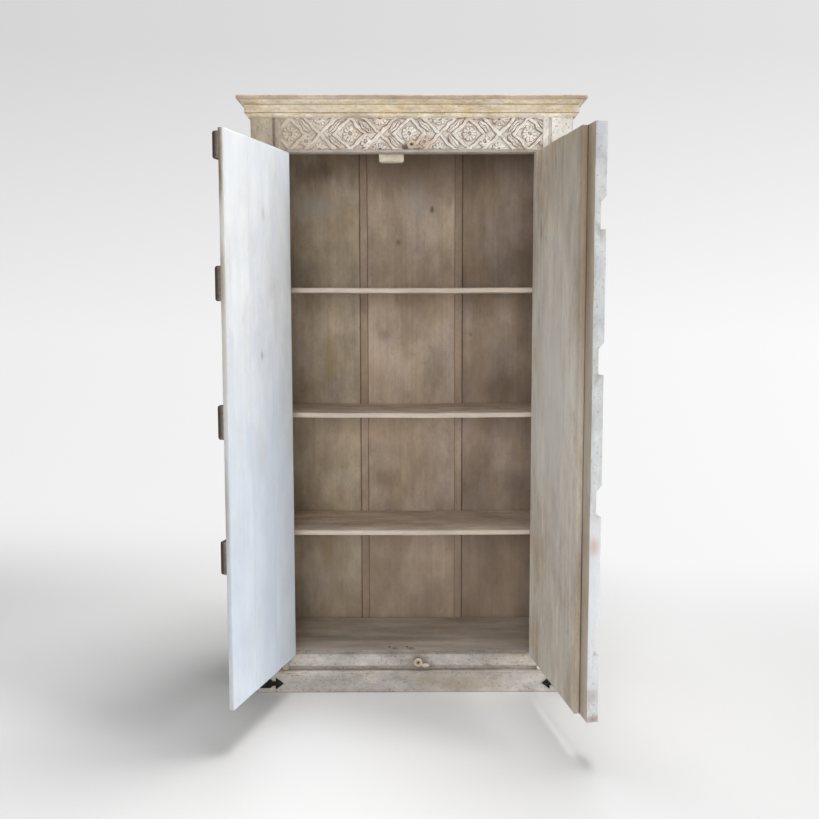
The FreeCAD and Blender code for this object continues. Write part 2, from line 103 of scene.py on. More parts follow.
class Graph:
    """The nodes of one material or world, added with short calls."""

    def __init__(self, owner: bpy.types.Material | bpy.types.World, shader: str = "Principled BSDF") -> None:
        """Start with the owner's shader alone.

        Args:
            owner: The material or world.
            shader: The name of its shader node.
        """
        owner.use_nodes = True
        self.owner = owner
        self.tree = owner.node_tree
        self.shader = self.tree.nodes[shader]

    def feed(self, socket: bpy.types.NodeSocket, value: object) -> None:
        """Link a socket to another one, or set its value.

        Args:
            socket: The input to fill.
            value: An output socket, a number, a vector or a colour as it looks.
        """
        if isinstance(value, bpy.types.NodeSocket):
            self.tree.links.new(value, socket)
        else:
            socket.default_value = (*tone(value), 1.0) if socket.type == "RGBA" else value

    def add(self, kind: str, inputs: dict, output: int | str = 0, **settings: object) -> bpy.types.NodeSocket:
        """Add a node.

        Args:
            kind: The node's type.
            inputs: What goes into each input, by name or number.
            output: The output that is wanted.
            **settings: The node's own properties.

        Returns:
            The wanted output.
        """
        node = self.tree.nodes.new(kind)
        for name, value in settings.items():
            setattr(node, name, value)
        for key, value in inputs.items():
            self.feed(node.inputs[key], value)
        return node.outputs[output]

    def seen(self) -> bpy.types.NodeSocket:
        """Return 1 for the rays that show a background, straight or by way of metal or glass."""
        camera, glossy, through = (self.add("ShaderNodeLightPath", {}, f"Is {ray} Ray")
                                   for ray in ("Camera", "Glossy", "Transmission"))
        return self.math("MAXIMUM", self.math("MAXIMUM", camera, glossy), through)

    def here(self) -> bpy.types.NodeSocket:
        """Return Object coordinates, which are places in the cabinet."""
        return self.add("ShaderNodeTexCoord", {}, "Object")

    def bench(self) -> bpy.types.NodeSocket:
        """Return the places that a board had on the bench, square to its own grain."""
        return self.add("ShaderNodeAttribute", {}, "Vector", attribute_name="bench")

    def value(self, name: str) -> bpy.types.NodeSocket:
        """Return a number that the mesh carries on its points."""
        return self.add("ShaderNodeAttribute", {}, "Fac", attribute_name=name)

    def noise(self, place: bpy.types.NodeSocket, scale: Spot, detail: float,
              roughness: float = 0.55) -> bpy.types.NodeSocket:
        """Add a noise that is stretched along the axes.

        Args:
            place: The coordinates.
            scale: Features in a metre along each axis.
            detail: Octaves of finer noise.
            roughness: How strong the finer octaves are.

        Returns:
            The noise, about 0.5 on average.
        """
        stretched = self.add("ShaderNodeVectorMath", {0: place, 1: scale}, operation="MULTIPLY")
        return self.add("ShaderNodeTexNoise", {"Vector": stretched, "Scale": 1.0, "Detail": detail,
                                               "Roughness": roughness})

    def step(self, value: bpy.types.NodeSocket, low: float, high: float) -> bpy.types.NodeSocket:
        """Rise smoothly from 0 at low to 1 at high."""
        return self.add("ShaderNodeMapRange", {"Value": value, "From Min": low, "From Max": high},
                        interpolation_type="SMOOTHSTEP")

    def math(self, operation: str, first: object, second: object) -> bpy.types.NodeSocket:
        """Join two numbers by a Math node's operation."""
        return self.add("ShaderNodeMath", {0: first, 1: second}, operation=operation)

    def mix(self, share: object, first: object, second: object) -> bpy.types.NodeSocket:
        """Blend two colours, where a share of 1 is the second."""
        return self.add("ShaderNodeMix", {0: share, 6: first, 7: second}, 2, data_type="RGBA")

    def cover(self, colour: object, over: object, where: object, share: float) -> bpy.types.NodeSocket:
        """Lay one colour over another where a pattern is high, up to a share."""
        return self.mix(self.math("MULTIPLY", where, share), colour, over)

    def bump(self, height: bpy.types.NodeSocket, strength: float, distance: float) -> None:
        """Raise the surface by a height, for the shading alone."""
        normal = self.add("ShaderNodeBump", {"Height": height, "Strength": strength, "Distance": distance})
        self.feed(self.shader.inputs["Normal"], normal)


@dataclass(frozen=True)
class Pattern:
    """A noise that is stretched along the grain, with features in a metre.

    Where it marks the wash, it rises from 0 at the noise level start to 1 at the level full.
    """

    across: float
    along: float
    detail: float
    roughness: float = 0.55
    start: float = 0.0
    full: float = 1.0

    def raw(self, graph: Graph, grain: Grain) -> bpy.types.NodeSocket:
        """Add the noise as it is.

        Args:
            graph: The material's nodes.
            grain: The direction of the fibres.

        Returns:
            The noise, about 0.5 on average.
        """
        scale = [self.across] * 3
        scale[grain.value] = self.along
        return graph.noise(graph.bench(), tuple(scale), self.detail, self.roughness)

    def marks(self, graph: Graph, grain: Grain) -> bpy.types.NodeSocket:
        """Add the noise as marks from 0 to 1."""
        return graph.step(self.raw(graph, grain), self.start, self.full)


BANDS = Pattern(9.0, 0.9, 3.0, start=0.40, full=0.64)
CLOUDS = Pattern(8.0, 4.5, 4.0, 0.6, start=0.42, full=0.64)
TINTS = Pattern(13.0, 5.0, 5.0, 0.65, start=0.50, full=0.66)
STREAKS = Pattern(110.0, 2.2, 4.0, start=0.48, full=0.72)
FLAKES = Pattern(130.0, 30.0, 5.0, 0.7, start=0.50, full=0.57)
PITS = Pattern(140.0, 140.0, 3.0, 0.6, start=0.58, full=0.70)
FIBRES = Pattern(430.0, 10.0, 3.0, start=0.36, full=0.64)
SPECKS = Pattern(240.0, 70.0, 3.0, 0.65)
BLOTCHES = Pattern(42.0, 11.0, 6.0, 0.7)
GRAIN_LINES = Pattern(120.0, 1.6, 4.0, start=0.3, full=0.7)
MOTTLE = Pattern(26.0, 17.0, 6.0, 0.66, start=0.3, full=0.7)


@dataclass(frozen=True)
class Knot:
    """A soft patch of colour on a board: where it is, how far its mark reaches, and its colour. Most are
    knots and stains; the ones that are painted shade say so where they are listed.
    """

    spot: Spot
    reach: Spot
    colour: Colour
    strength: float = 0.8


PATCH_HEART = 0.6
PATCH_RIM = 1.5


@dataclass(frozen=True)
class Wash:
    """A thin limewash over brown wood, rubbed bare in places.

    The numbers are shares from 0 to 1, except bare_at, the noise level above which the wood shows, the levels
    of rubbed and end_fibres, and relief_height in metres.
    """

    name: str
    paint: Colour
    shade: Colour
    cloud: Colour
    tint: Colour
    stain: Colour
    wood: Colour
    end_grain: Colour
    edge_tone: Colour
    banding: float = 0.5
    clouding: float = 0.4
    tinting: float = 0.4
    streaking: float = 0.3
    speck_share: float = 0.45
    bare_at: float = 0.62
    bare_fade: float = 0.06
    bare_share: float = 0.5
    rubbed: tuple[float, float] = (1.05, 1.62)
    edge_share: float = 0.5
    recess_stain: float = 0.7
    end_fibres: tuple[float, float] = (-0.1, 0.4)
    flaking: float = 0.0
    mottle: Pattern = MOTTLE
    mottling: float = 0.26
    graining: float = 0.04
    pitting: float = 0.45
    roughness: tuple[float, float] = (0.6, 0.86)
    sheen: float = 0.3
    relief: float = 0.35
    relief_height: float = 0.0006
    speck_relief: float = 0.6
    knots: tuple[Knot, ...] = ()

    def material(self, grain: Grain) -> bpy.types.Material:
        """Return the wash for boards whose fibres run one way.

        Args:
            grain: The direction of the fibres.

        Returns:
            The material, made once for each direction.
        """
        name = f"{self.name}_{grain.name.lower()}"
        if name in bpy.data.materials:
            return bpy.data.materials[name]
        graph = Graph(bpy.data.materials.new(name))
        fibres, specks, blotches = (pattern.raw(graph, grain) for pattern in (FIBRES, SPECKS, BLOTCHES))
        worn = graph.math("ADD", graph.math("MULTIPLY", specks, self.speck_share),
                          graph.math("MULTIPLY", blotches, 1 - self.speck_share))
        bare = graph.step(worn, self.bare_at - self.bare_fade, self.bare_at + self.bare_fade)
        wood = graph.mix(graph.step(fibres, FIBRES.start, FIBRES.full), self.stain, self.wood)
        colour = graph.cover(self.brushed(graph, grain), wood, bare, self.bare_share)
        colour = graph.cover(colour, self.stain, PITS.marks(graph, grain), self.pitting)
        colour = self.uneven(graph, grain, colour)
        rubbed = graph.step(graph.math("ADD", graph.value("edge"), worn), *self.rubbed)
        colour = graph.cover(colour, self.edge_tone, rubbed, self.edge_share)
        # darker in recesses; on the frieze this also lays painted shade on the walls that face left
        colour = graph.cover(colour, self.stain, graph.value("recess"), self.recess_stain)
        ends = graph.math("MULTIPLY", graph.value("end"), graph.step(fibres, *self.end_fibres))
        colour = graph.mix(ends, colour, self.end_grain)
        for patch in self.knots:
            colour = self.marked(graph, patch, blotches, colour)
        graph.feed(graph.shader.inputs["Base Color"], colour)
        smooth, dull = self.roughness
        rough = graph.add("ShaderNodeMapRange", {"Value": specks, "To Min": smooth, "To Max": dull})
        graph.feed(graph.shader.inputs["Roughness"], rough)
        graph.feed(graph.shader.inputs["Specular IOR Level"], self.sheen)
        ridges = graph.math("ADD", fibres, graph.math("MULTIPLY", specks, self.speck_relief))
        hollows = graph.math("MULTIPLY", bare, self.bare_share)
        graph.bump(graph.math("SUBTRACT", ridges, hollows), self.relief, self.relief_height)
        return graph.owner

    def brushed(self, graph: Graph, grain: Grain) -> bpy.types.NodeSocket:
        """Brush on the wash, with bands, clouds, tints, streaks and flakes in it.

        Args:
            graph: The material's nodes.
            grain: The direction of the fibres.

        Returns:
            The colour of the wash where it still lies on the wood.
        """
        colour = graph.cover(self.paint, self.shade, BANDS.marks(graph, grain), self.banding)
        layers = [(CLOUDS, self.clouding, self.cloud), (TINTS, self.tinting, self.tint),
                  (STREAKS, self.streaking, self.stain)]
        if self.flaking:
            layers.append((FLAKES, self.flaking, self.shade))
        for pattern, share, hue in layers:
            colour = graph.cover(colour, hue, pattern.marks(graph, grain), share)
        return colour

    def uneven(self, graph: Graph, grain: Grain, colour: bpy.types.NodeSocket) -> bpy.types.NodeSocket:
        """Make a colour lighter and darker in patches and along the grain.

        Args:
            graph: The material's nodes.
            grain: The direction of the fibres.
            colour: The even colour.

        Returns:
            The uneven colour.
        """
        for pattern, share in ((self.mottle, self.mottling), (GRAIN_LINES, self.graining)):
            level = graph.add("ShaderNodeMapRange", {
                "Value": pattern.raw(graph, grain), "From Min": pattern.start, "From Max": pattern.full,
                "To Min": 1 - share, "To Max": 1 + share})
            colour = graph.add("ShaderNodeVectorMath", {0: colour, "Scale": level}, operation="SCALE")
        return colour

    @staticmethod
    def marked(graph: Graph, patch: Knot, ragged: bpy.types.NodeSocket,
               colour: bpy.types.NodeSocket) -> bpy.types.NodeSocket:
        """Put a patch's mark over a colour.

        Args:
            graph: The material's nodes.
            patch: The patch.
            ragged: A noise, which breaks the mark's edge.
            colour: The colour under it.

        Returns:
            The marked colour.
        """
        apart = graph.add("ShaderNodeVectorMath", {0: graph.here(), 1: patch.spot}, operation="SUBTRACT")
        scaled = graph.add("ShaderNodeVectorMath", {0: apart, 1: patch.reach}, operation="DIVIDE")
        reach = graph.add("ShaderNodeVectorMath", {0: scaled}, "Value", operation="LENGTH")
        mark = graph.step(graph.math("ADD", reach, ragged), PATCH_RIM, PATCH_HEART)
        return graph.cover(colour, patch.colour, mark, patch.strength)


@dataclass(frozen=True)
class Iron:
    """Hammered iron with a little rust. The pitches are features in a metre."""

    name: str
    metal: Colour
    rust: Colour
    gloss: float
    dulling: float = 0.3
    shine: float = 0.85
    dent_pitch: float = 95.0
    dent_detail: float = 2.0
    dent_rust: float = 0.5
    scale_pitch: float = 420.0
    scale_detail: float = 4.0
    scale_relief: float = 0.25
    rusting: tuple[float, float] = (0.80, 0.96)
    relief: float = 0.5
    relief_height: float = 0.0012

    def material(self, grain: Grain = Grain.UPRIGHT) -> bpy.types.Material:
        """Return the iron.

        Args:
            grain: The direction of the piece, which is not used, since it makes no difference to iron.

        Returns:
            The material, made once.
        """
        if self.name in bpy.data.materials:
            return bpy.data.materials[self.name]
        graph = Graph(bpy.data.materials.new(self.name))
        place = graph.here()
        dents = graph.noise(place, (self.dent_pitch,) * 3, self.dent_detail)
        scale = graph.noise(place, (self.scale_pitch,) * 3, self.scale_detail)
        pitted = graph.math("ADD", scale, graph.math("MULTIPLY", dents, self.dent_rust))
        rusty = graph.step(pitted, *self.rusting)
        graph.feed(graph.shader.inputs["Base Color"], graph.mix(rusty, self.metal, self.rust))
        rough = graph.add("ShaderNodeMapRange", {"Value": scale, "To Min": self.gloss,
                                                 "To Max": self.gloss + self.dulling})
        graph.feed(graph.shader.inputs["Roughness"], rough)
        graph.feed(graph.shader.inputs["Metallic"], graph.math("SUBTRACT", self.shine, rusty))
        height = graph.math("ADD", dents, graph.math("MULTIPLY", scale, self.scale_relief))
        graph.bump(height, self.relief, self.relief_height)
        return graph.owner


KNOT_AND_SHADE_BROWN = (92, 72, 56)
KNOT_OLIVE = (150, 142, 112)
KNOT_PLUM = (112, 100, 98)
KNOT_RUST = (176, 124, 84)
KNOT_ROSE = (150, 112, 106)
CRACK_AND_SHADE_DARK = (58, 44, 34)
BACK_DARK = (100, 82, 66)
BACK_GREY = (172, 166, 158)
BACK_TAN = (186, 158, 132)
BACK_OLIVE = (142, 122, 82)
BACK_FACE = 0.300
BACK_PATCH_DEPTH = 0.10
JOINT_LINE_MIDDLE = 0.9
JOINT_LINE_REACH = (0.0032, 0.006, 9.0)


def smear(x: float, z: float, wide: float, tall: float, colour: Colour, strength: float = 0.45) -> Knot:
    """Return a broad soft patch of colour on the back boards."""
    return Knot((x, BACK_FACE, z), (wide, BACK_PATCH_DEPTH, tall), colour, strength)


def crack(x: float, y: float, strength: float = 0.75) -> Knot:
    """Return an upright dark line along an open joint: dirt in the joint and painted contact shade beside the
    piece next to it.
    """
    return Knot((x, y, JOINT_LINE_MIDDLE), JOINT_LINE_REACH, CRACK_AND_SHADE_DARK, strength)


FRAME_WASH_AND_SHADE = Wash(
    "frame_wash", paint=(197, 192, 186), shade=(175, 168, 160), cloud=(211, 206, 199),
    tint=(186, 168, 146), stain=(112, 94, 78), wood=(152, 131, 110), end_grain=(130, 108, 88),
    edge_tone=(150, 130, 110), tinting=0.65, streaking=0.06, bare_at=0.57, bare_share=0.4,
    edge_share=0.45, recess_stain=0.5, pitting=0.6, knots=(
        # painted shadow of the lower latch eye and its tail: a dark spot in its hole, and brown shade round
        # it, above it and under the tail
        Knot((0.017, -0.001, 0.093), (0.009, 0.02, 0.009), CRACK_AND_SHADE_DARK, 0.95),
        Knot((0.022, -0.002, 0.090), (0.056, 0.03, 0.036), KNOT_AND_SHADE_BROWN, 0.6),
        Knot((0.045, -0.002, 0.078), (0.050, 0.03, 0.010), KNOT_AND_SHADE_BROWN, 0.55),
        Knot((0.012, -0.002, 0.108), (0.022, 0.03, 0.014), KNOT_AND_SHADE_BROWN, 0.35),
        Knot((0.170, -0.010, 0.030), (0.230, 0.05, 0.060), (164, 146, 126), 0.5)))
# the left stile's wash is a darker, tan copy of the frame wash: painted shade of the left door
LEFT_STILE_WASH_AND_SHADE = replace(
    FRAME_WASH_AND_SHADE, name="left_stile_wash", paint=(184, 172, 153), shade=(168, 155, 136),
    cloud=(192, 182, 166), tint=(168, 150, 124))
# the right stile's wash is a whiter copy of the frame wash: painted light from the key at the right
RIGHT_STILE_WASH_AND_LIGHT = replace(
    FRAME_WASH_AND_SHADE, name="right_stile_wash", paint=(234, 229, 222), shade=(224, 217, 208),
    cloud=(238, 234, 228), tinting=0.3, bare_at=0.60, recess_stain=0.1)
FRIEZE_WASH_AND_SHADE = Wash(
    "frieze_wash", paint=(240, 234, 225), shade=(228, 219, 207), cloud=(246, 243, 237),
    tint=(202, 172, 142), stain=(116, 81, 54), wood=(176, 146, 118), end_grain=(130, 108, 88),
    edge_tone=(244, 240, 233), tinting=0.55, streaking=0.05, bare_at=0.56, bare_share=0.5, edge_share=0.3,
    recess_stain=0.85, knots=(
        # painted shadow of the upper latch eye and its tail: a dark spot in its hole, and brown shade to its
        # left, below it and under the tail
        Knot((-0.001, -0.001, 1.660), (0.009, 0.02, 0.009), CRACK_AND_SHADE_DARK, 0.95),
        Knot((-0.015, -0.002, 1.653), (0.026, 0.03, 0.016), KNOT_AND_SHADE_BROWN, 0.9),
        Knot((0.014, -0.002, 1.650), (0.020, 0.03, 0.009), KNOT_AND_SHADE_BROWN, 0.85),
        Knot((0.040, -0.002, 1.668), (0.050, 0.03, 0.034), (190, 150, 116), 0.5),
        Knot((0.330, -0.002, 1.632), (0.050, 0.03, 0.006), KNOT_RUST, 0.6),
        # painted shade: the left end of the frieze is greyer and darker, away from the key light
        Knot((-0.390, -0.002, 1.670), (0.260, 0.05, 0.260), (190, 176, 156), 0.7)))
EYE_WASH = replace(
    FRIEZE_WASH_AND_SHADE, name="eye_wash", paint=(212, 198, 178), shade=(194, 176, 152), cloud=(220, 210, 194),
    edge_tone=(214, 202, 184), knots=())
CORNICE_WASH = Wash(
    "cornice_wash", paint=(228, 216, 190), shade=(240, 236, 227), cloud=(234, 214, 162),
    tint=(228, 218, 200), stain=(150, 118, 88), wood=(184, 154, 120), end_grain=(150, 122, 100),
    edge_tone=(180, 150, 116), clouding=0.5, streaking=0.1, bare_at=0.55, bare_share=0.5, edge_share=0.35,
    flaking=0.8, mottle=replace(MOTTLE, across=40.0, along=14.0))
TOP_BOARD_WASH = Wash(
    "top_board_wash", paint=(196, 178, 158), shade=(206, 193, 176), cloud=(188, 167, 146),
    tint=(188, 160, 134), stain=(140, 110, 86), wood=(164, 136, 112), end_grain=(150, 122, 100),
    edge_tone=(178, 152, 128), bare_at=0.58, bare_share=0.4, edge_share=0.3)
BACK_WASH_AND_SHADE = Wash(
    "back_wash", paint=(180, 161, 141), shade=(148, 128, 108), cloud=(194, 177, 163),
    tint=(172, 148, 116), stain=(112, 90, 70), wood=(146, 120, 94), end_grain=(98, 76, 58),
    edge_tone=(140, 114, 88), banding=0.3, clouding=0.7, tinting=0.3, streaking=0.06, bare_at=0.60,
    bare_share=0.25, edge_share=0.5, mottle=replace(MOTTLE, across=9.0, along=5.0), mottling=0.3,
    graining=0.07, pitting=0.22, knots=(
        # dirt and painted contact shade along the outer side of each batten
        crack(-0.1755, BACK_FACE), crack(0.1675, BACK_FACE),
        # painted shadow of the frieze, darkening the top of the back
        smear(0.000, 1.720, 0.700, 0.330, (112, 94, 76), 0.6),
        smear(0.000, 0.250, 0.800, 0.420, (136, 117, 100), 0.4),
        # painted shadow in the top left corner, under the frieze
        smear(-0.300, 1.630, 0.100, 0.050, BACK_DARK, 0.6),
        # painted shade down the right edge of the back, beside the right stile, here and in the next patch
        smear(0.340, 1.330, 0.080, 0.110, BACK_DARK),
        smear(0.340, 0.905, 0.100, 0.110, BACK_DARK),
        smear(-0.090, 0.600, 0.070, 0.060, BACK_DARK),
        # painted shade at the right edge of the back, beside the right stile
        smear(0.340, 0.590, 0.080, 0.080, BACK_DARK),
        smear(-0.320, 1.520, 0.110, 0.060, BACK_GREY),
        smear(0.020, 1.540, 0.070, 0.080, BACK_GREY, 0.35),
        smear(0.030, 0.670, 0.110, 0.150, BACK_DARK, 0.25),
        smear(-0.130, 0.960, 0.060, 0.100, BACK_TAN),
        smear(-0.130, 0.770, 0.060, 0.070, BACK_TAN),
        smear(-0.278, 1.010, 0.035, 0.120, BACK_OLIVE, 0.5),
        smear(-0.290, 0.360, 0.030, 0.110, BACK_OLIVE),
        Knot((0.066, BACK_FACE, 1.508), (0.010, 0.02, 0.016), KNOT_AND_SHADE_BROWN),
        Knot((-0.046, BACK_FACE, 1.400), (0.013, 0.02, 0.018), KNOT_AND_SHADE_BROWN, 0.6),
        Knot((0.196, BACK_FACE, 1.093), (0.010, 0.02, 0.012), KNOT_PLUM, 0.6),
        Knot((-0.099, BACK_FACE, 1.090), (0.035, 0.02, 0.030), KNOT_AND_SHADE_BROWN, 0.25)))
BATTEN_WASH_AND_SHADE = replace(
    BACK_WASH_AND_SHADE, name="batten_wash", paint=(166, 146, 126), shade=(140, 120, 101), cloud=(178, 161, 146),
    edge_tone=(112, 90, 70), edge_share=0.75)
LEFT_BACK_WASH_AND_SHADE = replace(
    BACK_WASH_AND_SHADE, name="left_back_wash", paint=(178, 162, 140), shade=(146, 127, 105), cloud=(190, 177, 160))
# the right back board is darker than the centre one: its own greyer tone and painted shade of the right door
# and stile
RIGHT_BACK_WASH_AND_SHADE = replace(
    BACK_WASH_AND_SHADE, name="right_back_wash", paint=(152, 134, 116), shade=(124, 106, 89), cloud=(164, 148, 135))
SHELF_WASH = Wash(
    "shelf_wash", paint=(214, 199, 183), shade=(190, 171, 154), cloud=(222, 211, 198),
    tint=(186, 160, 132), stain=(132, 108, 88), wood=(164, 138, 114), end_grain=(140, 116, 96),
    edge_tone=(216, 202, 188), streaking=0.08, bare_at=0.58, bare_share=0.4, edge_share=0.6,
    mottle=replace(MOTTLE, across=22.0, along=9.0), mottling=0.26, pitting=0.2)
FLOOR_WASH = Wash(
    "floor_wash", paint=(196, 185, 172), shade=(171, 158, 144), cloud=(206, 198, 187),
    tint=(166, 148, 126), stain=(118, 98, 80), wood=(140, 116, 94), end_grain=(130, 108, 88),
    edge_tone=(150, 128, 106), streaking=0.1, bare_at=0.60, bare_share=0.3, edge_share=0.5,
    mottle=replace(MOTTLE, across=18.0, along=4.0), pitting=0.15, knots=(
        Knot((-0.056, 0.045, 0.115), (0.016, 0.016, 0.03), KNOT_AND_SHADE_BROWN, 0.5),
        Knot((-0.006, 0.045, 0.115), (0.016, 0.016, 0.03), KNOT_AND_SHADE_BROWN, 0.5)))
LEFT_DOOR_WASH = Wash(
    "left_door_wash", paint=(226, 229, 232), shade=(200, 208, 218), cloud=(205, 212, 221),
    tint=(210, 205, 199), stain=(186, 190, 194), wood=(214, 208, 202), end_grain=(150, 142, 128),
    edge_tone=(204, 196, 182), banding=0.5, clouding=0.55, tinting=0.4, streaking=0.03, bare_at=0.62,
    bare_share=0.15, edge_share=0.8, mottle=replace(MOTTLE, across=14.0, along=5.0), mottling=0.08,
    graining=0.03, pitting=0.03, knots=(
        Knot((-0.430, -0.200, 0.450), (0.600, 0.600, 0.850), (200, 216, 234), 0.55),
        Knot((-0.470, -0.300, 1.560), (0.300, 0.250, 0.380), (240, 242, 243), 0.45),
        Knot((-0.4847, -0.347, 1.560), (0.020, 0.020, 0.220), (128, 102, 76), 0.95),
        Knot((-0.4847, -0.347, 1.250), (0.018, 0.020, 0.130), (152, 136, 108), 0.7),
        Knot((-0.4847, -0.347, 0.650), (0.018, 0.020, 0.200), (160, 146, 120), 0.6),
        Knot((-0.408, -0.165, 1.440), (0.012, 0.012, 0.030), KNOT_OLIVE, 0.25),
        Knot((-0.414, -0.182, 1.053), (0.009, 0.009, 0.020), KNOT_OLIVE, 0.6)))
# the right door's wash is darker and warmer than the left door's: painted shade and warm bounce light over
# its own streaks and knots
RIGHT_DOOR_WASH_AND_SHADE = Wash(
    "right_door_wash", paint=(216, 207, 193), shade=(192, 181, 166), cloud=(216, 213, 206),
    tint=(196, 172, 142), stain=(140, 118, 96), wood=(176, 154, 128), end_grain=(140, 118, 98),
    edge_tone=(150, 129, 102), banding=0.6, clouding=0.55, tinting=0.6, streaking=0.12, bare_at=0.60,
    bare_share=0.3, edge_share=0.55, mottle=replace(MOTTLE, across=16.0, along=4.5), mottling=0.22,
    graining=0.08, pitting=0.15, knots=(
        # dirt and painted contact shade where the plank's edge meets the post
        crack(0.4379, -0.3680, 0.6),
        Knot((0.400, -0.190, 0.950), (0.300, 0.300, 0.560), (234, 232, 226), 0.6),
        Knot((0.405, -0.230, 1.600), (0.200, 0.250, 0.300), (150, 130, 100), 0.3),
        Knot((0.432, -0.372, 1.400), (0.040, 0.045, 0.700), (140, 116, 88), 0.6),
        Knot((0.398, -0.150, 1.250), (0.012, 0.016, 0.380), KNOT_OLIVE, 0.5),
        Knot((0.4285, -0.352, 0.628), (0.006, 0.006, 0.009), CRACK_AND_SHADE_DARK, 0.9),
        Knot((0.4285, -0.352, 0.370), (0.006, 0.006, 0.009), CRACK_AND_SHADE_DARK, 0.9),
        Knot((0.369, -0.081, 1.398), (0.010, 0.010, 0.045), KNOT_PLUM, 0.5),
        Knot((0.390, -0.192, 1.580), (0.008, 0.012, 0.060), KNOT_AND_SHADE_BROWN, 0.3)))
# the post's lining takes the right door's patches, with the painted contact shade along the post
POST_LINING_AND_SHADE = replace(
    RIGHT_DOOR_WASH_AND_SHADE, name="post_lining", paint=(190, 178, 162), shade=(168, 156, 142),
    cloud=(196, 190, 182), edge_share=0.2)
POST_WASH = Wash(
    "post_wash", paint=(200, 204, 204), shade=(186, 188, 190), cloud=(210, 213, 214),
    tint=(184, 182, 190), stain=(138, 122, 110), wood=(172, 156, 142), end_grain=(150, 130, 112),
    edge_tone=(196, 188, 180), streaking=0.05, bare_at=0.58, bare_share=0.35, edge_share=0.1,
    mottling=0.16, pitting=0.55, knots=(
        Knot((0.456, -0.400, 0.480), (0.300, 0.30, 0.420), (226, 227, 231), 0.7),
        Knot((0.458, -0.410, 0.580), (0.020, 0.03, 0.040), (190, 152, 134), 0.6),
        Knot((0.456, -0.410, 0.190), (0.030, 0.03, 0.030), KNOT_ROSE, 0.45),
        Knot((0.462, -0.410, 0.130), (0.030, 0.03, 0.018), KNOT_ROSE, 0.7)))
LEDGE_WASH = Wash(
    "ledge_wash", paint=(206, 202, 196), shade=(182, 175, 166), cloud=(216, 212, 206),
    tint=(176, 158, 136), stain=(104, 84, 68), wood=(140, 116, 94), end_grain=(66, 50, 37),
    edge_tone=(118, 94, 74), bare_at=0.56, bare_share=0.55, edge_share=0.6)
STOP_PAINT = Wash(
    "stop_paint", paint=(209, 199, 181), shade=(206, 196, 176), cloud=(220, 213, 200),
    tint=(196, 176, 146), stain=(160, 134, 102), wood=(170, 144, 112), end_grain=(190, 164, 132),
    edge_tone=(206, 192, 170), banding=0.3, streaking=0.05, bare_at=0.62, bare_share=0.6, edge_share=0.3)
BLACK_IRON = Iron("black_iron_hammered", (34, 33, 33), (84, 58, 42), 0.45)
HINGE_IRON = Iron("hinge_iron_worn", (70, 66, 62), (104, 74, 54), 0.38)


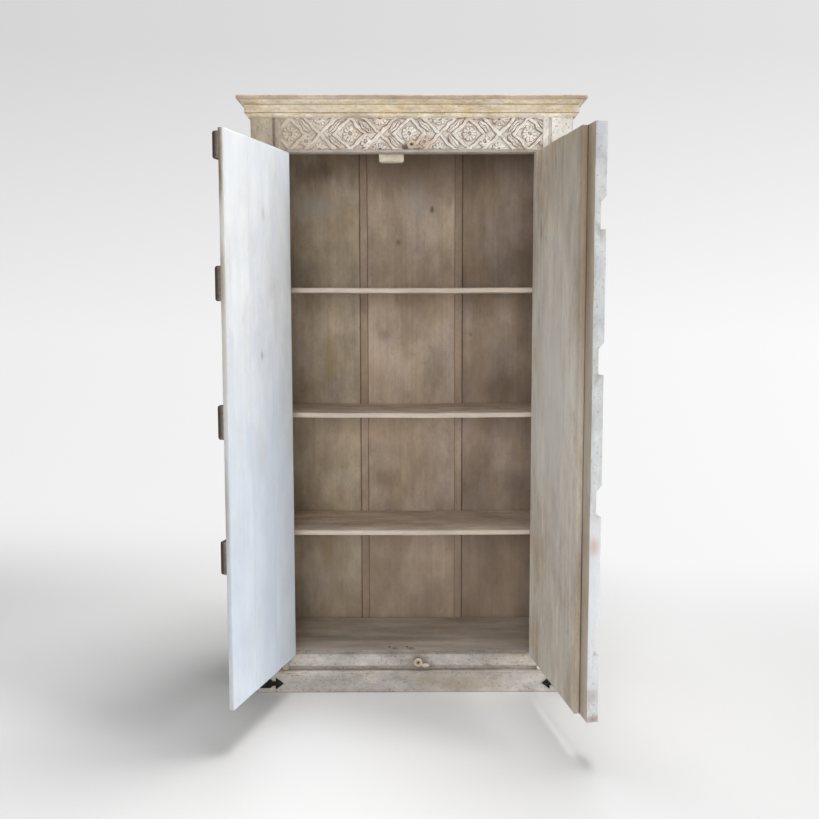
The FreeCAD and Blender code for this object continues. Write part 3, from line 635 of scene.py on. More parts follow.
@dataclass
class Stock:
    """One piece of work on the bench: a mesh, and the joiner's operations on it. Lengths are in metres."""

    bm: bmesh.types.BMesh = field(default_factory=bmesh.new)
    flats: list[bmesh.types.BMFace] = field(default_factory=list)
    joints: tuple[float, ...] = ()
    joint_reach: float = 0.002
    weld: float = 0.00001
    flat_turn: float = math.radians(1)
    cut_snap: float = 0.0001
    corner_clear: float = 0.012
    ease_steps: int = 2
    margins_across: float = 4.0
    full_wear: float = 0.35
    end_reach: float = 0.003
    back_facing: float = 0.7

    def in_joint(self, spot: Vector) -> bool:
        """Tell whether a point lies on a side that is glued to its neighbour."""
        return any(abs(spot.x - joint) < self.joint_reach for joint in self.joints)

    @classmethod
    def cut_from(cls, node: str, turn: Matrix | None = None) -> Stock:
        """Take a copy of a CAD node as clean solids.

        Args:
            node: The node's name.
            turn: A matrix that puts the copy square, for a piece of an open door.

        Returns:
            The stock, with one face for each flat side.
        """
        stock = cls()
        bm = stock.bm
        bm.from_mesh(frame["nodes"][node].data)
        bmesh.ops.remove_doubles(bm, verts=bm.verts, dist=stock.weld)
        bm.transform(turn or Matrix.Identity(4))
        bmesh.ops.dissolve_limit(bm, angle_limit=stock.flat_turn, verts=bm.verts, edges=bm.edges)
        return stock

    def box(self) -> tuple[Vector, Vector]:
        """Return the lowest and highest corners."""
        points = np.array([vert.co for vert in self.bm.verts])
        return Vector(points.min(0)), Vector(points.max(0))

    def rip(self, pitch: float, notched: bool = False) -> Stock:
        """Cut loops across the longest side, but not close to a corner.

        Args:
            pitch: The distance between loops.
            notched: Whether to cut at the corners of its notches too.

        Returns:
            The stock itself.
        """
        low, high = self.box()
        size = high - low
        axis = max(range(3), key=lambda i: size[i])
        normal = Vector([float(i == axis) for i in range(3)])
        corners = sorted({round(vert.co[axis], 4) for vert in self.bm.verts})
        count = int(size[axis] / pitch)
        places = [low[axis] + size[axis] * i / count for i in range(1, count)]
        places = [place for place in places
                  if min(abs(place - corner) for corner in corners) > self.corner_clear]
        for place in [*places, *(corners[1:-1] if notched else ())]:
            geometry = [*self.bm.verts, *self.bm.edges, *self.bm.faces]
            bmesh.ops.bisect_plane(self.bm, geom=geometry, dist=self.cut_snap, plane_co=normal * place,
                                   plane_no=normal)
        return self

    def sag(self, drop: float) -> Stock:
        """Let a shelf hang down in the middle, as its load bends it.

        Args:
            drop: How far the middle comes down.

        Returns:
            The stock itself.
        """
        low, high = self.box()
        for vert in self.bm.verts:
            share = (2 * vert.co.x - low.x - high.x) / (high.x - low.x)
            vert.co.z -= drop * (1 - share * share)
        return self

    def hew(self, amount: float, pitch: float = 0.09) -> Stock:
        """Move the points a little, as hand planing leaves them.

        Neighbours move alike where they meet, because the noise goes by place.

        Args:
            amount: The largest move.
            pitch: The length of the waves.

        Returns:
            The stock itself.
        """
        for vert in self.bm.verts:
            vert.co += noise.noise_vector(vert.co / pitch) * amount
        return self

    def ease(self, width: float) -> Stock:
        """Round the sharp edges that don't lie in a tight joint.

        Args:
            width: The width of the rounding.

        Returns:
            The stock itself.
        """
        sharp = [edge for edge in self.bm.edges if edge.calc_face_angle(0.0) > SHARP_EDGE
                 and not all(self.in_joint(vert.co) for vert in edge.verts)]
        made = bmesh.ops.bevel(self.bm, geom=sharp, offset=width, offset_type="OFFSET",
                               segments=self.ease_steps, profile=0.5, affect="EDGES", clamp_overlap=True,
                               material=-1)
        rounds = set(made["faces"])
        self.flats = [face for face in self.bm.faces if face not in rounds]
        return self

    def margin(self, width: float) -> Stock:
        """Set a loop in from the rounded edges of the wide sides, where the wear fades out.

        Args:
            width: The distance in from the edge.

        Returns:
            The stock itself.
        """
        wide = []
        for face in self.flats:
            points = np.array([vert.co for vert in face.verts])
            spans = sorted(points.max(0) - points.min(0))
            if spans[1] > self.margins_across * width:
                wide.append(face)
        bmesh.ops.inset_region(self.bm, faces=wide, thickness=width, use_boundary=True, use_even_offset=True)
        return self

    def wear(self, end_axis: int | None = None) -> Stock:
        """Write how far each point is an edge, a recess or the end of a board.

        Args:
            end_axis: The axis along the board, where its ends show end grain.

        Returns:
            The stock itself.
        """
        bm = self.bm
        edge_layer = bm.verts.layers.float.new("edge")
        recess_layer = bm.verts.layers.float.new("recess")
        end_layer = bm.verts.layers.float.new("end")
        low, high = self.box()
        bm.normal_update()
        for vert in bm.verts:
            turns = [edge.calc_face_angle_signed(0.0) for edge in vert.link_edges if edge.is_manifold]
            rubbed = 0.0 if self.in_joint(vert.co) else max(turns, default=0.0) / self.full_wear
            vert[edge_layer] = min(1.0, max(0.0, rubbed))
            vert[recess_layer] = min(1.0, max(0.0, -min(turns, default=0.0) / self.full_wear))
            if end_axis is not None:
                reach = min(vert.co[end_axis] - low[end_axis], high[end_axis] - vert.co[end_axis])
                vert[end_layer] = float(reach < self.end_reach)
        return self

    def line(self) -> Stock:
        """Give the faces that look to the back the piece's second finish.

        Returns:
            The stock itself.
        """
        for face in self.bm.faces:
            face.material_index = int(face.normal.y > self.back_facing)
        return self

    def fade_ends(self, share: float) -> Stock:
        """Let the end grain fade out over the back half.

        Args:
            share: What is left of it at the back.

        Returns:
            The stock itself.
        """
        low, high = self.box()
        end = self.bm.verts.layers.float["end"]
        for vert in self.bm.verts:
            vert[end] *= min(1.0, share + 2 * (1 - share) * (high.y - vert.co.y) / (high.y - low.y))
        return self

    def deliver(self, name: str, body: str, nodes: Iterable[str], slot: str,
                materials: Iterable[bpy.types.Material], turn: Matrix | None = None,
                number: float = 0.0) -> bpy.types.Object:
        """Make the piece an object that rides on its body.

        Args:
            name: The piece's name.
            body: The CAD body that it moves with.
            nodes: The CAD nodes that it stands for.
            slot: The record's material slot, which is not used.
            materials: Its finishes.
            turn: A matrix that hangs the piece where it rests.
            number: The board's own number, which shifts its pattern.

        Returns:
            The finished object.
        """
        bench = self.bm.verts.layers.float_vector.new("bench")
        for vert in self.bm.verts:
            vert[bench] = vert.co + Vector(BOARD_SHIFT) * number
        self.bm.transform(turn or Matrix.Identity(4))
        mesh = bpy.data.meshes.new(name)
        self.bm.to_mesh(mesh)
        self.bm.free()
        mesh.shade_smooth()
        mesh.set_sharp_from_angle(angle=SHARP_EDGE)
        for material in materials:
            mesh.materials.append(material)
        piece = bpy.data.objects.new(name, mesh)
        bpy.context.scene.collection.objects.link(piece)
        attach(piece, body)
        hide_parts(*nodes)
        log.info("%s: %d faces", name, len(mesh.polygons))
        return piece


@dataclass
class Joinery:
    """Plain boards, each cut from its own CAD node."""

    body: str
    turn: Matrix = field(default_factory=lambda: Matrix.Identity(4))
    rip_pitch: float = 0.06
    plane_marks: float = 0.0005
    end_fade: float = 0.15
    number_step: float = 0.37
    made: int = 0

    def board(self, node: str, slot: str, finish: Wash | Iron, grain: Grain, ease: float = 0.002,
              margin: float = 0.006, hew: float | None = None, ends: bool = False,
              joints: tuple[float, ...] = (), lining: Wash | None = None, notched: bool = False,
              sag: float = 0.0) -> bpy.types.Object:
        """Dress one node as a worn board.

        Args:
            node: The CAD node.
            slot: The record's material slot.
            finish: The board's finish.
            grain: The direction of its fibres.
            ease: The rounding of its edges.
            margin: How far in from an edge the wear reaches, or 0 for a piece that is worn all over.
            hew: How uneven its faces are, if not as the rest.
            ends: Whether its ends show end grain.
            joints: The places across where it is glued to its neighbours.
            lining: The finish of the side that looks to the back, if it has its own.
            notched: Whether it has notches along it.
            sag: How far its middle hangs down.

        Returns:
            The finished piece.
        """
        self.made += 1
        stock = Stock.cut_from(node, turn=self.turn.inverted())
        stock.joints = joints
        low, high = stock.box()
        longest = max(range(3), key=lambda i: (high - low)[i])
        stock.rip(self.rip_pitch, notched=notched).sag(sag)
        stock.hew(self.plane_marks if hew is None else hew).ease(ease)
        if margin:
            stock.margin(margin)
        stock.wear(longest if ends else None)
        materials = [finish.material(grain)]
        if ends:
            stock.fade_ends(self.end_fade)
        if lining:
            stock.line()
            materials.append(lining.material(grain))
        number = self.made * self.number_step
        return stock.deliver(f"{node}_worn", self.body, [node], slot, materials, self.turn, number)


@dataclass
class Carcass:
    """The box of the cabinet: sides, back, shelves, floor and the frame round the doors."""

    joinery: Joinery = field(default_factory=lambda: Joinery("carcass"))
    sags: dict[str, float] = field(
        default_factory=lambda: {"upper": 0.002, "middle": 0.0035, "lower": 0.0015})

    def build(self) -> None:
        """Make every plain board of the cabinet."""
        self.inside()
        self.front()

    def inside(self) -> None:
        """Make the sides, back boards, battens, shelves, floor and cleats."""
        board = self.joinery.board
        for side in Side:
            board(f"{side.word}_side_panel", "whitewashed_wood", FRAME_WASH_AND_SHADE, Grain.UPRIGHT)
            board(f"back_batten_{side.word}", "back_wood", BATTEN_WASH_AND_SHADE, Grain.UPRIGHT, ease=0.0018,
                  margin=0.003)
        for name, finish in (("left", LEFT_BACK_WASH_AND_SHADE), ("center", BACK_WASH_AND_SHADE), ("right", RIGHT_BACK_WASH_AND_SHADE)):
            board(f"back_board_{name}", "back_wood", finish, Grain.UPRIGHT)
        board("ceiling_board", "back_wood", BACK_WASH_AND_SHADE, Grain.ACROSS)
        for name, sag in self.sags.items():
            board(f"shelf_{name}", "shelf_wood", SHELF_WASH, Grain.ACROSS, ease=0.003, hew=0.001, sag=sag)
        board("floor_board", "shelf_wood", FLOOR_WASH, Grain.ACROSS)
        board("shelf_cleats", "shelf_wood", SHELF_WASH, Grain.DEEP)
        board("floor_cleats", "shelf_wood", SHELF_WASH, Grain.DEEP)

    def front(self) -> None:
        """Make the stiles, rails, lip, plinth and stop block."""
        board = self.joinery.board
        for side, finish in ((Side.LEFT, LEFT_STILE_WASH_AND_SHADE), (Side.RIGHT, RIGHT_STILE_WASH_AND_LIGHT)):
            board(f"{side.word}_stile", "whitewashed_wood", finish, Grain.UPRIGHT, ease=0.0015, margin=0.004)
            board(f"plinth_{side.word}", "whitewashed_wood", FRAME_WASH_AND_SHADE, Grain.DEEP, ease=0.003)
        board("top_rail", "whitewashed_wood", FRAME_WASH_AND_SHADE, Grain.ACROSS)
        board("frieze_lip", "whitewashed_wood", FRAME_WASH_AND_SHADE, Grain.ACROSS, ease=0.002, margin=0.002)
        board("bottom_rail", "whitewashed_wood", FRAME_WASH_AND_SHADE, Grain.ACROSS, ease=0.002, margin=0.004)
        board("plinth_front", "whitewashed_wood", FRAME_WASH_AND_SHADE, Grain.ACROSS, ease=0.002, margin=0.005)
        board("door_stop_block", "whitewashed_wood", STOP_PAINT, Grain.ACROSS, ease=0.0015, margin=0.003)


@dataclass
class Frieze:
    """The carved board under the cornice: rosettes in diamonds of crossing straps, with leaves between.

    Lengths are in metres, and heights and cuts are shares of the depth of the carving.
    """

    rosettes: int = 5
    first_rosette: float = -0.357
    rosette_pitch: float = 0.1752
    carved_height: float = 0.091
    grid: float = 0.0014
    depth: float = 0.0055
    ridge_foot: float = 1.3
    ridge_slope: float = 0.5
    ridge_fall: float = 0.15
    strap_half: float = 0.0046
    strap_height: float = 0.9
    strap_groove: float = 0.0011
    strap_cut: float = 0.14
    petals: int = 10
    petal_reach: float = 0.023
    petal_slope: float = 0.0016
    petal_bulge: float = 0.14
    petal_fall: float = 0.3
    petal_cut: float = 0.55
    petal_gap: float = 0.42
    gap_start: float = 0.3
    gap_slope: float = 0.002
    eye_reach: float = 0.0048
    eye_slope: float = 0.001
    ring_place: float = 1.5
    ring_half: float = 0.65
    leaf_place: tuple[float, float] = (0.67, 0.33)
    leaf_length: float = 0.027
    leaf_half: float = 0.0095
    leaf_slope: float = 0.0018
    leaf_fall: float = 0.35
    rib_half: float = 0.0006
    rib_slope: float = 0.0012
    rib_cut: float = 0.5
    vein_pitch: float = 0.0016
    vein_cut: float = 0.2
    flower_reach: float = 0.0165
    flower_petals: int = 7
    fan_reach: float = 0.02145
    fan_height: float = 0.85
    fan_petals: int = 12
    border_start: float = 0.955
    border_slope: float = 0.001
    border_height: float = 0.8
    hewn: tuple[float, float] = (0.0007, 0.007)
    crease_reach: float = 0.0022
    crease_stain: float = 3.4
    # how dark the painted shade on the carving's left-facing walls is
    shade_stain: float = 1.3
    ground_stain: float = 0.3
    ground: float = 0.08
    slip: float = 0.0044
    slip_pitch: float = 0.016

    def compass(self) -> list[tuple[float, float]]:
        """Return eight short steps round a point, to look for creases."""
        turns = [i * math.pi / 4 for i in range(8)]
        return [(self.crease_reach * math.cos(turn), self.crease_reach * math.sin(turn)) for turn in turns]

    def build(self) -> None:
        """Carve the board and dress it."""
        low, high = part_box("carved_frieze")
        width, height = high.x - low.x, high.z - low.z
        stock = Stock()
        bm = stock.bm
        place = (Matrix.Translation(((low.x + high.x) / 2, low.y, (low.z + high.z) / 2))
                 @ Matrix.Rotation(math.pi / 2, 4, "X") @ Matrix.Diagonal((width, height, 1.0, 1.0)))
        bmesh.ops.create_grid(bm, x_segments=round(width / self.grid), y_segments=round(height / self.grid),
                              size=0.5, matrix=place)
        points = np.array([vert.co for vert in bm.verts])
        x, z = points[:, 0], points[:, 2] - low.z - self.carved_height / 2
        slips = np.array([noise.noise_vector(spot / self.slip_pitch) for spot in points]) * self.slip
        x, z = x + slips[:, 0], z + slips[:, 2]
        sunk = self.carving(x, z)
        near = [self.carving(x + dx, z + dz) for dx, dz in self.compass()]
        crease = sunk - sum(near) / len(near)
        # painted shade: where the carving falls away to the left, its wall faces away from the key light and
        # is darkened
        shaded = self.carving(x - self.crease_reach, z) - self.carving(x + self.crease_reach, z)
        rim = [edge for edge in bm.edges if edge.is_boundary]
        made = bmesh.ops.extrude_edge_only(bm, edges=rim)["geom"]
        back = [item for item in made if isinstance(item, bmesh.types.BMVert)]
        bmesh.ops.translate(bm, verts=back, vec=(0.0, high.y - low.y, 0.0))
        bmesh.ops.edgeloop_fill(bm, edges=[edge for edge in bm.edges if edge.is_boundary])
        for vert, drop in zip(bm.verts, sunk):
            vert.co.y += drop * self.depth
        bmesh.ops.recalc_face_normals(bm, faces=bm.faces)
        stock.hew(*self.hewn).wear()
        recess = bm.verts.layers.float["recess"]
        # the recess layer darkens the creases and the deep ground, and carries the painted shade on the
        # left-facing walls
        stain = (crease * self.crease_stain + np.clip(shaded, 0, 1) * self.shade_stain
                 + (sunk - 0.5) * self.ground_stain)
        for vert, share in zip(bm.verts, np.clip(stain, 0, 1)):
            vert[recess] = share
        stock.deliver("carved_frieze_relief", "carcass", ["carved_frieze"], "whitewashed_wood",
                      [FRIEZE_WASH_AND_SHADE.material(Grain.ACROSS)])

    def carving(self, x: np.ndarray, z: np.ndarray) -> np.ndarray:
        """Work out how deep the carving goes.

        Args:
            x: Places along the board.
            z: Heights above the middle of the carving.

        Returns:
            Depths from 0 at the old surface to 1 at the sunk ground.
        """
        half = self.carved_height / 2
        cell = np.clip(np.round((x - self.first_rosette) / self.rosette_pitch), 0, self.rosettes - 1)
        along = x - self.first_rosette - cell * self.rosette_pitch
        away, up = np.abs(along), np.abs(z)
        rise = np.full_like(x, self.ground)
        diamond = np.abs(away + up - half) / math.sqrt(2)
        crossing = np.abs(self.rosette_pitch / 2 - away - up) / math.sqrt(2)
        for strap in (diamond, crossing):
            groove = self.strap_cut * (1 - self.step(strap / self.strap_groove))
            rise = np.maximum(rise, self.rounded(strap / self.strap_half) * (self.strap_height - groove))
        rise = np.maximum(rise, self.flower(along, z, self.petal_reach, self.petals))
        middle = (half + self.rosette_pitch / 2) / 2
        for lift in (1, -1):
            across = away - middle * self.leaf_place[0]
            above = z - lift * middle * self.leaf_place[1]
            slant = (above * lift - across) / math.sqrt(2)
            thick = (above * lift + across) / math.sqrt(2)
            leaf = self.leaf(slant, thick)
            bloom = self.flower(across, above, self.flower_reach, self.flower_petals)
            rise = np.maximum(rise, np.where((lift < 0) & (along > 0), bloom, leaf))
            fan = self.flower(away - self.rosette_pitch / 2, z - lift * half, self.fan_reach, self.fan_petals)
            rise = np.maximum(rise, fan * self.fan_height)
        border = self.step((up - half * self.border_start) / self.border_slope) * self.border_height
        rise = np.maximum(rise, border)
        return np.clip(1 - rise, 0, 1)

    def flower(self, x: np.ndarray, z: np.ndarray, reach: float, petals: int) -> np.ndarray:
        """Rise in a rosette: a drilled eye, a ring round it, and petals with grooves between.

        Args:
            x: Places across, from the flower's middle.
            z: Heights from its middle.
            reach: Its radius.
            petals: The number of petals.

        Returns:
            Heights from 0 to 1.
        """
        radius = np.hypot(x, z)
        turn = np.arctan2(z, x) * petals / 2
        spread = np.abs(np.cos(turn))
        lobe = reach * (1 - self.petal_bulge + self.petal_bulge * spread)
        petal = self.step((lobe - radius) / self.petal_slope) * (1 - self.petal_fall * (radius / reach) ** 2)
        gap = 1 - self.step(spread / self.petal_gap)
        petal = petal - self.petal_cut * gap * self.step((radius - reach * self.gap_start) / self.gap_slope)
        ring = self.rounded((radius - self.eye_reach * self.ring_place) / (self.eye_reach * self.ring_half))
        hole = self.step((radius - self.eye_reach) / self.eye_slope)
        return np.maximum(petal, ring) * hole

    def leaf(self, slant: np.ndarray, thick: np.ndarray) -> np.ndarray:
        """Rise in a leaf with a midrib groove and side veins.

        Args:
            slant: Places along the leaf, from its middle.
            thick: Places across it.

        Returns:
            Heights from 0 to 1.
        """
        share = np.clip(1 - (slant / self.leaf_length) ** 2, 0, 1)
        out = np.abs(thick)
        body = self.step((self.leaf_half * share - out) / self.leaf_slope)
        body = body * (1 - self.leaf_fall * out / self.leaf_half)
        rib = 1 - self.step((out - self.rib_half) / self.rib_slope)
        veins = 0.5 + 0.5 * np.sin((slant - out) / self.vein_pitch)
        return np.clip(body - self.rib_cut * rib * body - self.vein_cut * veins * body, 0, 1)

    @staticmethod
    def step(value: np.ndarray) -> np.ndarray:
        """Rise smoothly from 0 at 0 to 1 at 1."""
        share = np.clip(value, 0, 1)
        return share * share * (3 - 2 * share)

    def rounded(self, value: np.ndarray) -> np.ndarray:
        """Rise in a soft ridge about 0, with a foot on each side."""
        slope = self.step((self.ridge_foot - np.abs(value)) / self.ridge_slope)
        return slope * (1 - self.ridge_fall * value * value)


@dataclass
class Cornice:
    """The moulded head of the cabinet: a bead, a fascia and a cove under a rounded board."""

    bead_start: float = 0.002
    bead_reach: float = 0.012
    bead_height: float = 0.012
    fascia_reach: float = 0.015
    fascia_height: float = 0.021
    cove_reach: float = 0.030
    cove_bend: float = 1.25
    quirk: float = 0.0015
    arc_steps: int = 6
    run_pitch: float = 0.03
    run_hewn: tuple[float, float] = (0.0006, 0.05)
    board_pitch: float = 0.04
    board_hewn: tuple[float, float] = (0.0008, 0.05)
    board_ease: float = 0.001
    front_number: float = 1.3
    side_number: float = 2.1
    board_number: float = 0.7

    def build(self) -> None:
        """Make the three runs and the top board."""
        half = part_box("right_stile")[1].x
        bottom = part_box("cornice_front")[0].z
        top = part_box("cornice_front")[1].z
        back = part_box("cornice_left")[1].y
        profile = self.profile(bottom, top)
        self.run("cornice_front", [(-half - out, -out, z) for out, z in profile],
                 lambda spot: (-spot.x, spot.y, spot.z), Grain.ACROSS, self.front_number)
        for side in Side:
            sign = side.value
            self.run(f"cornice_{side.word}", [(sign * (half + out), -out, z) for out, z in profile],
                     lambda spot: (spot.x, back, spot.z), Grain.DEEP, self.side_number + sign)
        stock = Stock.cut_from("cornice_top_board").rip(self.board_pitch).hew(*self.board_hewn)
        stock.ease(self.board_ease).wear()
        stock.deliver("cornice_top_board_worn", "carcass", ["cornice_top_board"], "cornice_wood",
                      [TOP_BOARD_WASH.material(Grain.ACROSS)], number=self.board_number)

    def profile(self, bottom: float, top: float) -> list[tuple[float, float]]:
        """Return the moulding's outline as pairs of projection and height, from its foot up.

        Args:
            bottom: The height of its foot.
            top: The height of its top.

        Returns:
            The outline, closed along the wall behind it.
        """
        turns = [i * math.pi / 2 / self.arc_steps for i in range(self.arc_steps + 1)]
        bead_top = bottom + self.bead_height
        fascia_top = bead_top + self.fascia_height
        bead = [(self.bead_start + (self.bead_reach - self.bead_start) * math.sin(turn),
                 bottom + (self.bead_height - self.quirk) * (1 - math.cos(turn))) for turn in turns]
        cove_start = self.fascia_reach - self.quirk
        shares = [i / self.arc_steps for i in range(self.arc_steps + 1)]
        cove = [(cove_start + (self.cove_reach - cove_start) * share ** self.cove_bend,
                 fascia_top + self.quirk + (top - fascia_top - self.quirk) * share) for share in shares]
        bead_side = self.bead_reach - self.quirk
        notch = [(bead_side, bead_top - self.quirk), (bead_side, bead_top), (self.fascia_reach, bead_top),
                 (self.fascia_reach, fascia_top), (cove_start, fascia_top)]
        return [(0.0, bottom), *bead, *notch, *cove, (0.0, top)]

    def run(self, node: str, start: list[Spot], far_end: Callable[[Vector], Spot], grain: Grain,
            number: float) -> None:
        """Stretch the outline into one mitred run.

        Args:
            node: The CAD node that it stands for.
            start: The outline at the near end.
            far_end: Gives a point's place at the far end.
            grain: The direction of the run.
            number: The run's own number, which shifts its pattern.
        """
        stock = Stock()
        bm = stock.bm
        face = bm.faces.new([bm.verts.new(spot) for spot in start])
        made = bmesh.ops.extrude_face_region(bm, geom=[face])["geom"]
        for item in made:
            if isinstance(item, bmesh.types.BMVert):
                item.co = far_end(item.co)
        bmesh.ops.recalc_face_normals(bm, faces=bm.faces)
        stock.rip(self.run_pitch).hew(*self.run_hewn).wear()
        stock.deliver(f"{node}_moulding", "carcass", [node], "cornice_wood", [CORNICE_WASH.material(grain)],
                      number=number)


@dataclass
class Ironwork:
    """The corner straps, screws, nails, hinges and the two latch eyes."""

    eye_steps: int = 36
    section_steps: int = 14
    tail_sizes: dict[str, tuple[float, float]] = field(
        default_factory=lambda: {"upper_latch_eye": (1.05, 0.42), "lower_latch_eye": (1.6, 0.95)})
    tail_drop: float = 0.65
    tail_thick: float = 0.8
    tail_tall: float = 0.45
    tail_steps: tuple[int, int] = (18, 12)
    hole_share: float = 0.26
    eye_hewn: tuple[float, float] = (0.0008, 0.012)

    def build(self) -> None:
        """Make every fitting of the cabinet itself."""
        joinery = Joinery("carcass", rip_pitch=0.02)
        for side in Side:
            joinery.board(f"{side.word}_corner_strap", "black_iron", BLACK_IRON, Grain.ACROSS, ease=0.0008,
                          margin=0.002, hew=0.0006)
        joinery.board("strap_screws", "black_iron", BLACK_IRON, Grain.ACROSS, ease=0.0005, hew=0.0)
        joinery.board("floor_screws", "black_iron", BLACK_IRON, Grain.ACROSS, ease=0.0003, hew=0.0)
        for name in ("upper", "lower"):
            self.eye(f"{name}_latch_eye")
        for node in ("hinge_frame_leaves", "hinge_pins", "left_hinge_door_leaves", "right_hinge_door_leaves"):
            materials = frame["nodes"][node].data.materials
            materials.clear()
            materials.append(HINGE_IRON.material())

    def eye(self, node: str) -> None:
        """Turn a rounded ring with a short tail in place of one latch eye.

        Args:
            node: The CAD node of the eye.
        """
        low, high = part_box(node)
        middle = (low + high) / 2
        outer = (high.x - low.x) / 2
        hole = outer * self.hole_share
        reach = (outer - hole) / 2
        thick = (high.y - low.y) / 2
        stock = Stock()
        bm = stock.bm
        turns = [i * 2 * math.pi / self.section_steps for i in range(self.section_steps)]
        section = [bm.verts.new((middle.x + hole + reach + reach * math.cos(turn),
                                 middle.y + thick * math.sin(turn), middle.z)) for turn in turns]
        loop = [bm.edges.new((section[i - 1], section[i])) for i in range(len(section))]
        bmesh.ops.spin(bm, geom=[*section, *loop], cent=middle, axis=(0.0, 1.0, 0.0), angle=2 * math.pi,
                       steps=self.eye_steps, use_merge=True)
        reach_out, length = self.tail_sizes[node]
        tail = (length * outer, self.tail_thick * thick, self.tail_tall * outer * math.sqrt(length), 1.0)
        place = (Matrix.Translation(middle + Vector((reach_out * outer, 0.0, -self.tail_drop * outer)))
                 @ Matrix.Diagonal(tail))
        round_steps, long_steps = self.tail_steps
        bmesh.ops.create_uvsphere(bm, u_segments=round_steps, v_segments=long_steps, radius=1.0, matrix=place)
        bmesh.ops.recalc_face_normals(bm, faces=bm.faces)
        stock.hew(*self.eye_hewn).wear()
        stock.deliver(f"{node}_ring", "carcass", [node], "whitewashed_wood",
                      [EYE_WASH.material(Grain.ACROSS)])


@dataclass
class Door:
    """A plank door with ledges on its face, hung open on butt hinges."""

    side: Side
    planks: int = 3
    ledges: int = 4
    first_number: int = 20

    def swing(self) -> Matrix:
        """Find the turn that takes the shut door to where it rests open.

        Returns:
            The matrix of that turn about the hinge.
        """
        joint = next(joint for joint in frame["joints"] if joint["child"] == f"{self.side.word}_door")
        pivot = Matrix.Translation(joint["pos_m"])
        shut = Matrix.Rotation(math.radians(joint["range_deg"][0]), 4, Vector(joint["axis"]))
        return pivot @ shut.inverted() @ pivot.inverted()

    @staticmethod
    def seams(planks: list[str], turn: Matrix) -> tuple[float, ...]:
        """Find the joints between the planks of the shut door.

        Args:
            planks: The planks' nodes.
            turn: The matrix that shuts the door.

        Returns:
            Every side of a plank but the two outermost.
        """
        sides = []
        for plank in planks:
            low, high = Stock.cut_from(plank, turn=turn).box()
            sides += [low.x, high.x]
        return tuple(sorted(sides)[1:-1])

    def build(self) -> None:
        """Make the planks, hinge stile, ledges, nails and, on the right, the meeting post."""
        word = self.side.word
        slot = f"{word}_door_wood"
        finish = LEFT_DOOR_WASH if self.side is Side.LEFT else RIGHT_DOOR_WASH_AND_SHADE
        joinery = Joinery(f"{word}_door", self.swing(), made=self.first_number * (1 + self.side.value))
        planks = [f"{word}_door_plank_{i + 1}" for i in range(self.planks)]
        seams = self.seams(planks, joinery.turn.inverted())
        for plank in planks:
            joinery.board(plank, slot, finish, Grain.UPRIGHT, ease=0.0015, margin=0.004, joints=seams)
        joinery.board(f"{word}_door_hinge_stile", slot, LEDGE_WASH, Grain.UPRIGHT, ease=0.001, margin=0.004,
                      hew=0.0002)
        for i in range(self.ledges):
            joinery.board(f"{word}_door_ledge_{i + 1}", slot, LEDGE_WASH, Grain.ACROSS, ease=0.002,
                          margin=0.004, ends=True)
        joinery.board(f"{word}_door_nails", "black_iron", BLACK_IRON, Grain.ACROSS, ease=0.0006, hew=0.0)
        if self.side is Side.RIGHT:
            joinery.board("right_door_post", slot, POST_WASH, Grain.UPRIGHT, ease=0.003, margin=0.0,
                          hew=0.001, lining=POST_LINING_AND_SHADE, notched=True)


@dataclass(frozen=True)
class Lamp:
    """A square soft light: where it hangs, what it points at, the length of its sides, and its strength."""

    name: str
    spot: Spot
    aim: Spot
    size: float
    watts: float

    def hang(self) -> bpy.types.Object:
        """Hang the light in the scene.

        Returns:
            The light.
        """
        data = bpy.data.lights.new(f"studio_{self.name}", "AREA")
        data.size = self.size
        data.energy = self.watts
        lamp = bpy.data.objects.new(f"studio_{self.name}", data)
        lamp.location = self.spot
        lamp.rotation_euler = (Vector(self.aim) - Vector(self.spot)).to_track_quat("-Z", "Y").to_euler()
        bpy.context.scene.collection.objects.link(lamp)
        return lamp


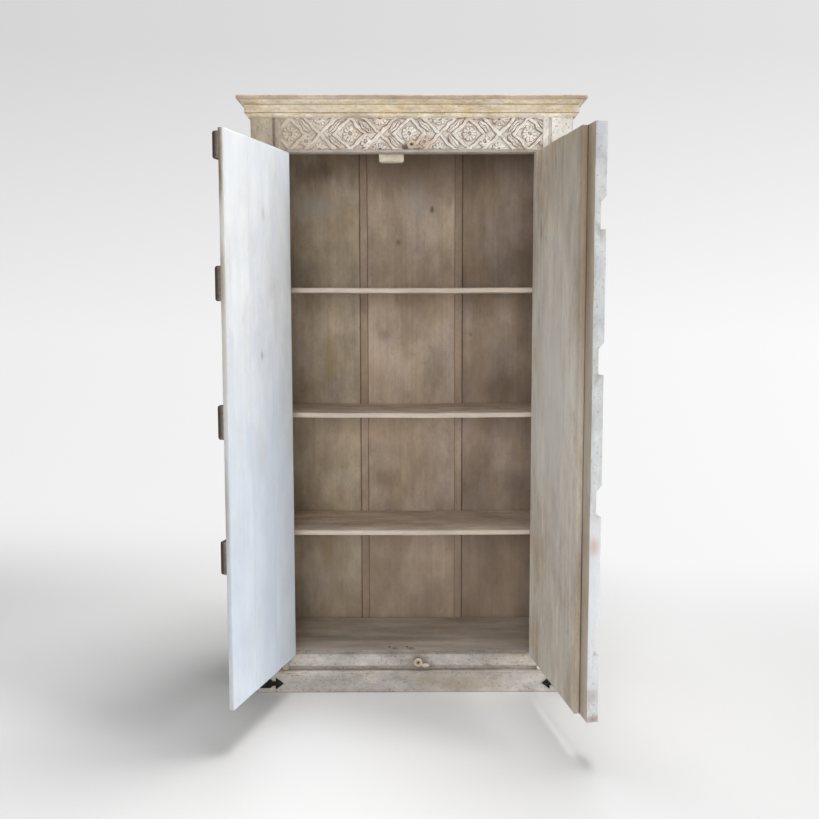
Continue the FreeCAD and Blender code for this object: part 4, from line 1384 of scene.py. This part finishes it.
@dataclass
class Studio:
    """The pale sweep that the cabinet stands on, its soft light and the camera.

    Places and lengths are in metres. The glow is what the camera sees of the paper where it rises behind or
    lies far off, and 1 is white.
    """

    floor_front: float = -9.0
    sweep_start: float = 1.4
    sweep_radius: float = 1.6
    wall_top: float = 6.0
    half_width: float = 9.0
    arc_steps: int = 16
    camera_place: Spot = (0.008, -2.365, 1.184)
    camera_pitch: float = math.radians(4.46)
    camera_yaw: float = math.radians(0.18)
    camera_roll: float = math.radians(0.07)
    focal_pixels: float = 791.5
    middle_pixels: tuple[float, float] = (417.4, 369.1)
    sensor: float = 36.0
    floor_left: Colour = (252, 252, 252)
    floor_right: Colour = (230, 230, 230)
    floor_half: float = 1.5
    wall_grey: Colour = (69, 69, 69)
    paper_roughness: float = 0.9
    glow_depth: tuple[float, float] = (0.5, 2.0)
    glow_reach: tuple[float, float] = (2.2, 3.6)
    glow_lean: float = 0.7
    glow_lean_side: tuple[float, float] = (0.3, 1.2)
    glow_low: float = 0.91
    glow_high: float = 0.72
    glow_heights: tuple[float, float] = (1.0, 2.9)
    glow_side: float = 0.018
    glow_side_reach: float = 3.0
    air: float = 0.025
    sky: float = 0.9
    key: Lamp = Lamp("key", (8.02, -3.32, 3.3), (-0.3, -0.2, 0.9), 3.0, 410.0)
    top: Lamp = Lamp("top", (0.56, 0.28, 5.5), (0.1, 0.0, 0.0), 2.0, 205.0)
    fill: Lamp = Lamp("fill", (-0.5, -4.3, 1.75), (0.0, 0.0, 0.8), 2.2, 87.0)
    behind: Lamp = Lamp("behind", (-1.6, 2.4, 2.0), (0.0, 0.2, 0.9), 1.5, 40.0)

    def build(self) -> None:
        """Set the stage, the lights and the camera."""
        pieces = [item for item in bpy.context.scene.objects if item.type == "MESH"]
        self.sweep()
        self.light(pieces)
        self.camera()
        bpy.context.scene.view_settings.view_transform = "Standard"

    def sweep(self) -> None:
        """Make the floor, which bends up into the wall behind."""
        bm = bmesh.new()
        turns = [i * math.pi / 2 / self.arc_steps for i in range(self.arc_steps + 1)]
        bend = [(self.sweep_start + self.sweep_radius * math.sin(turn),
                 self.sweep_radius * (1 - math.cos(turn))) for turn in turns]
        line = [(self.floor_front, 0.0), *bend, (bend[-1][0], self.wall_top)]
        verts = [bm.verts.new((-self.half_width, y, z)) for y, z in line]
        edges = [bm.edges.new(pair) for pair in zip(verts, verts[1:])]
        made = bmesh.ops.extrude_edge_only(bm, edges=edges)["geom"]
        far = [item for item in made if isinstance(item, bmesh.types.BMVert)]
        bmesh.ops.translate(bm, verts=far, vec=(2 * self.half_width, 0.0, 0.0))
        bmesh.ops.recalc_face_normals(bm, faces=bm.faces)
        mesh = bpy.data.meshes.new("studio_sweep")
        bm.to_mesh(mesh)
        bm.free()
        mesh.shade_smooth()
        mesh.materials.append(self.paper())
        sweep = bpy.data.objects.new("studio_sweep", mesh)
        bpy.context.scene.collection.objects.link(sweep)

    def paper(self) -> bpy.types.Material:
        """Make white paper, which glows softly where it is seen far behind or far off.

        Returns:
            The material of the sweep.
        """
        graph = Graph(bpy.data.materials.new("studio_paper"))
        seen = graph.seen()
        side, depth, height = (graph.add("ShaderNodeSeparateXYZ", {0: graph.here()}, axis) for axis in "XYZ")
        lean = graph.math("MULTIPLY", graph.step(side, *self.glow_lean_side), self.glow_lean)
        risen = graph.step(graph.math("ADD", depth, lean), *self.glow_depth)
        away = graph.add("ShaderNodeVectorMath", {0: graph.here()}, "Value", operation="LENGTH")
        glowing = graph.math("MAXIMUM", risen, graph.step(away, *self.glow_reach))
        across = graph.step(side, -self.floor_half, self.floor_half)
        floor = graph.mix(across, self.floor_left, self.floor_right)
        bounced = graph.mix(risen, floor, self.wall_grey)
        paper = graph.mix(seen, bounced, graph.mix(glowing, floor, (0, 0, 0)))
        low, high = self.glow_heights
        level = graph.add("ShaderNodeMapRange", {"Value": height, "From Min": low, "From Max": high,
                                                 "To Min": self.glow_low, "To Max": self.glow_high})
        reach, slope = self.glow_side_reach, self.glow_side_reach * self.glow_side
        slant = graph.add("ShaderNodeMapRange", {"Value": side, "From Min": -reach, "From Max": reach,
                                                 "To Min": -slope, "To Max": slope})
        level = graph.math("MULTIPLY", graph.math("ADD", level, slant), graph.math("MULTIPLY", seen, glowing))
        for name, value in {"Base Color": paper, "Roughness": self.paper_roughness, "Specular IOR Level": 0.0,
                            "Emission Color": (255, 255, 255), "Emission Strength": level}.items():
            graph.feed(graph.shader.inputs[name], value)
        return graph.owner

    def light(self, pieces: list[bpy.types.Object]) -> None:
        """Hang a soft key at the front right, one overhead, a low fill at the front and one behind.

        The world is pale where it is seen and lights the cabinet only a little. The lamp behind shines on the
        cabinet alone, so that the floor keeps its shadow.

        Args:
            pieces: What the lamp behind shines on.
        """
        graph = Graph(bpy.data.worlds.new("studio_air"), "Background")
        level = graph.add("ShaderNodeMapRange", {"Value": graph.seen(), "To Min": self.air,
                                                 "To Max": self.sky})
        graph.feed(graph.shader.inputs["Color"], (255, 255, 255))
        graph.feed(graph.shader.inputs["Strength"], level)
        bpy.context.scene.world = graph.owner
        for lamp in (self.key, self.top, self.fill):
            lamp.hang()
        behind = self.behind.hang()
        behind.visible_camera = False
        behind.visible_glossy = False
        lit = bpy.data.collections.new("cabinet_pieces")
        for piece in pieces:
            lit.objects.link(piece)
        behind.light_linking.receiver_collection = lit

    def camera(self) -> None:
        """Stand the camera where the photograph was taken from."""
        data = bpy.data.cameras.new("photo_view")
        data.sensor_width = self.sensor
        data.lens = self.focal_pixels / PHOTO_PIXELS * self.sensor
        data.shift_x = 0.5 - self.middle_pixels[0] / PHOTO_PIXELS
        data.shift_y = self.middle_pixels[1] / PHOTO_PIXELS - 0.5
        camera = bpy.data.objects.new("photo_view", data)
        camera.matrix_world = (Matrix.Translation(self.camera_place)
                               @ Matrix.Rotation(-self.camera_yaw, 4, "Z")
                               @ Matrix.Rotation(math.pi / 2 - self.camera_pitch, 4, "X")
                               @ Matrix.Rotation(-self.camera_roll, 4, "Z"))
        bpy.context.scene.collection.objects.link(camera)
        bpy.context.scene.camera = camera


def main() -> None:
    """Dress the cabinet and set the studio."""
    logging.basicConfig(level=logging.INFO, format="%(name)s: %(message)s")
    noise.seed_set(NOISE_SEED)
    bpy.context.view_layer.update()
    Carcass().build()
    Frieze().build()
    Cornice().build()
    Ironwork().build()
    for side in Side:
        Door(side).build()
    Studio().build()


if __name__ == "__main__":
    main()
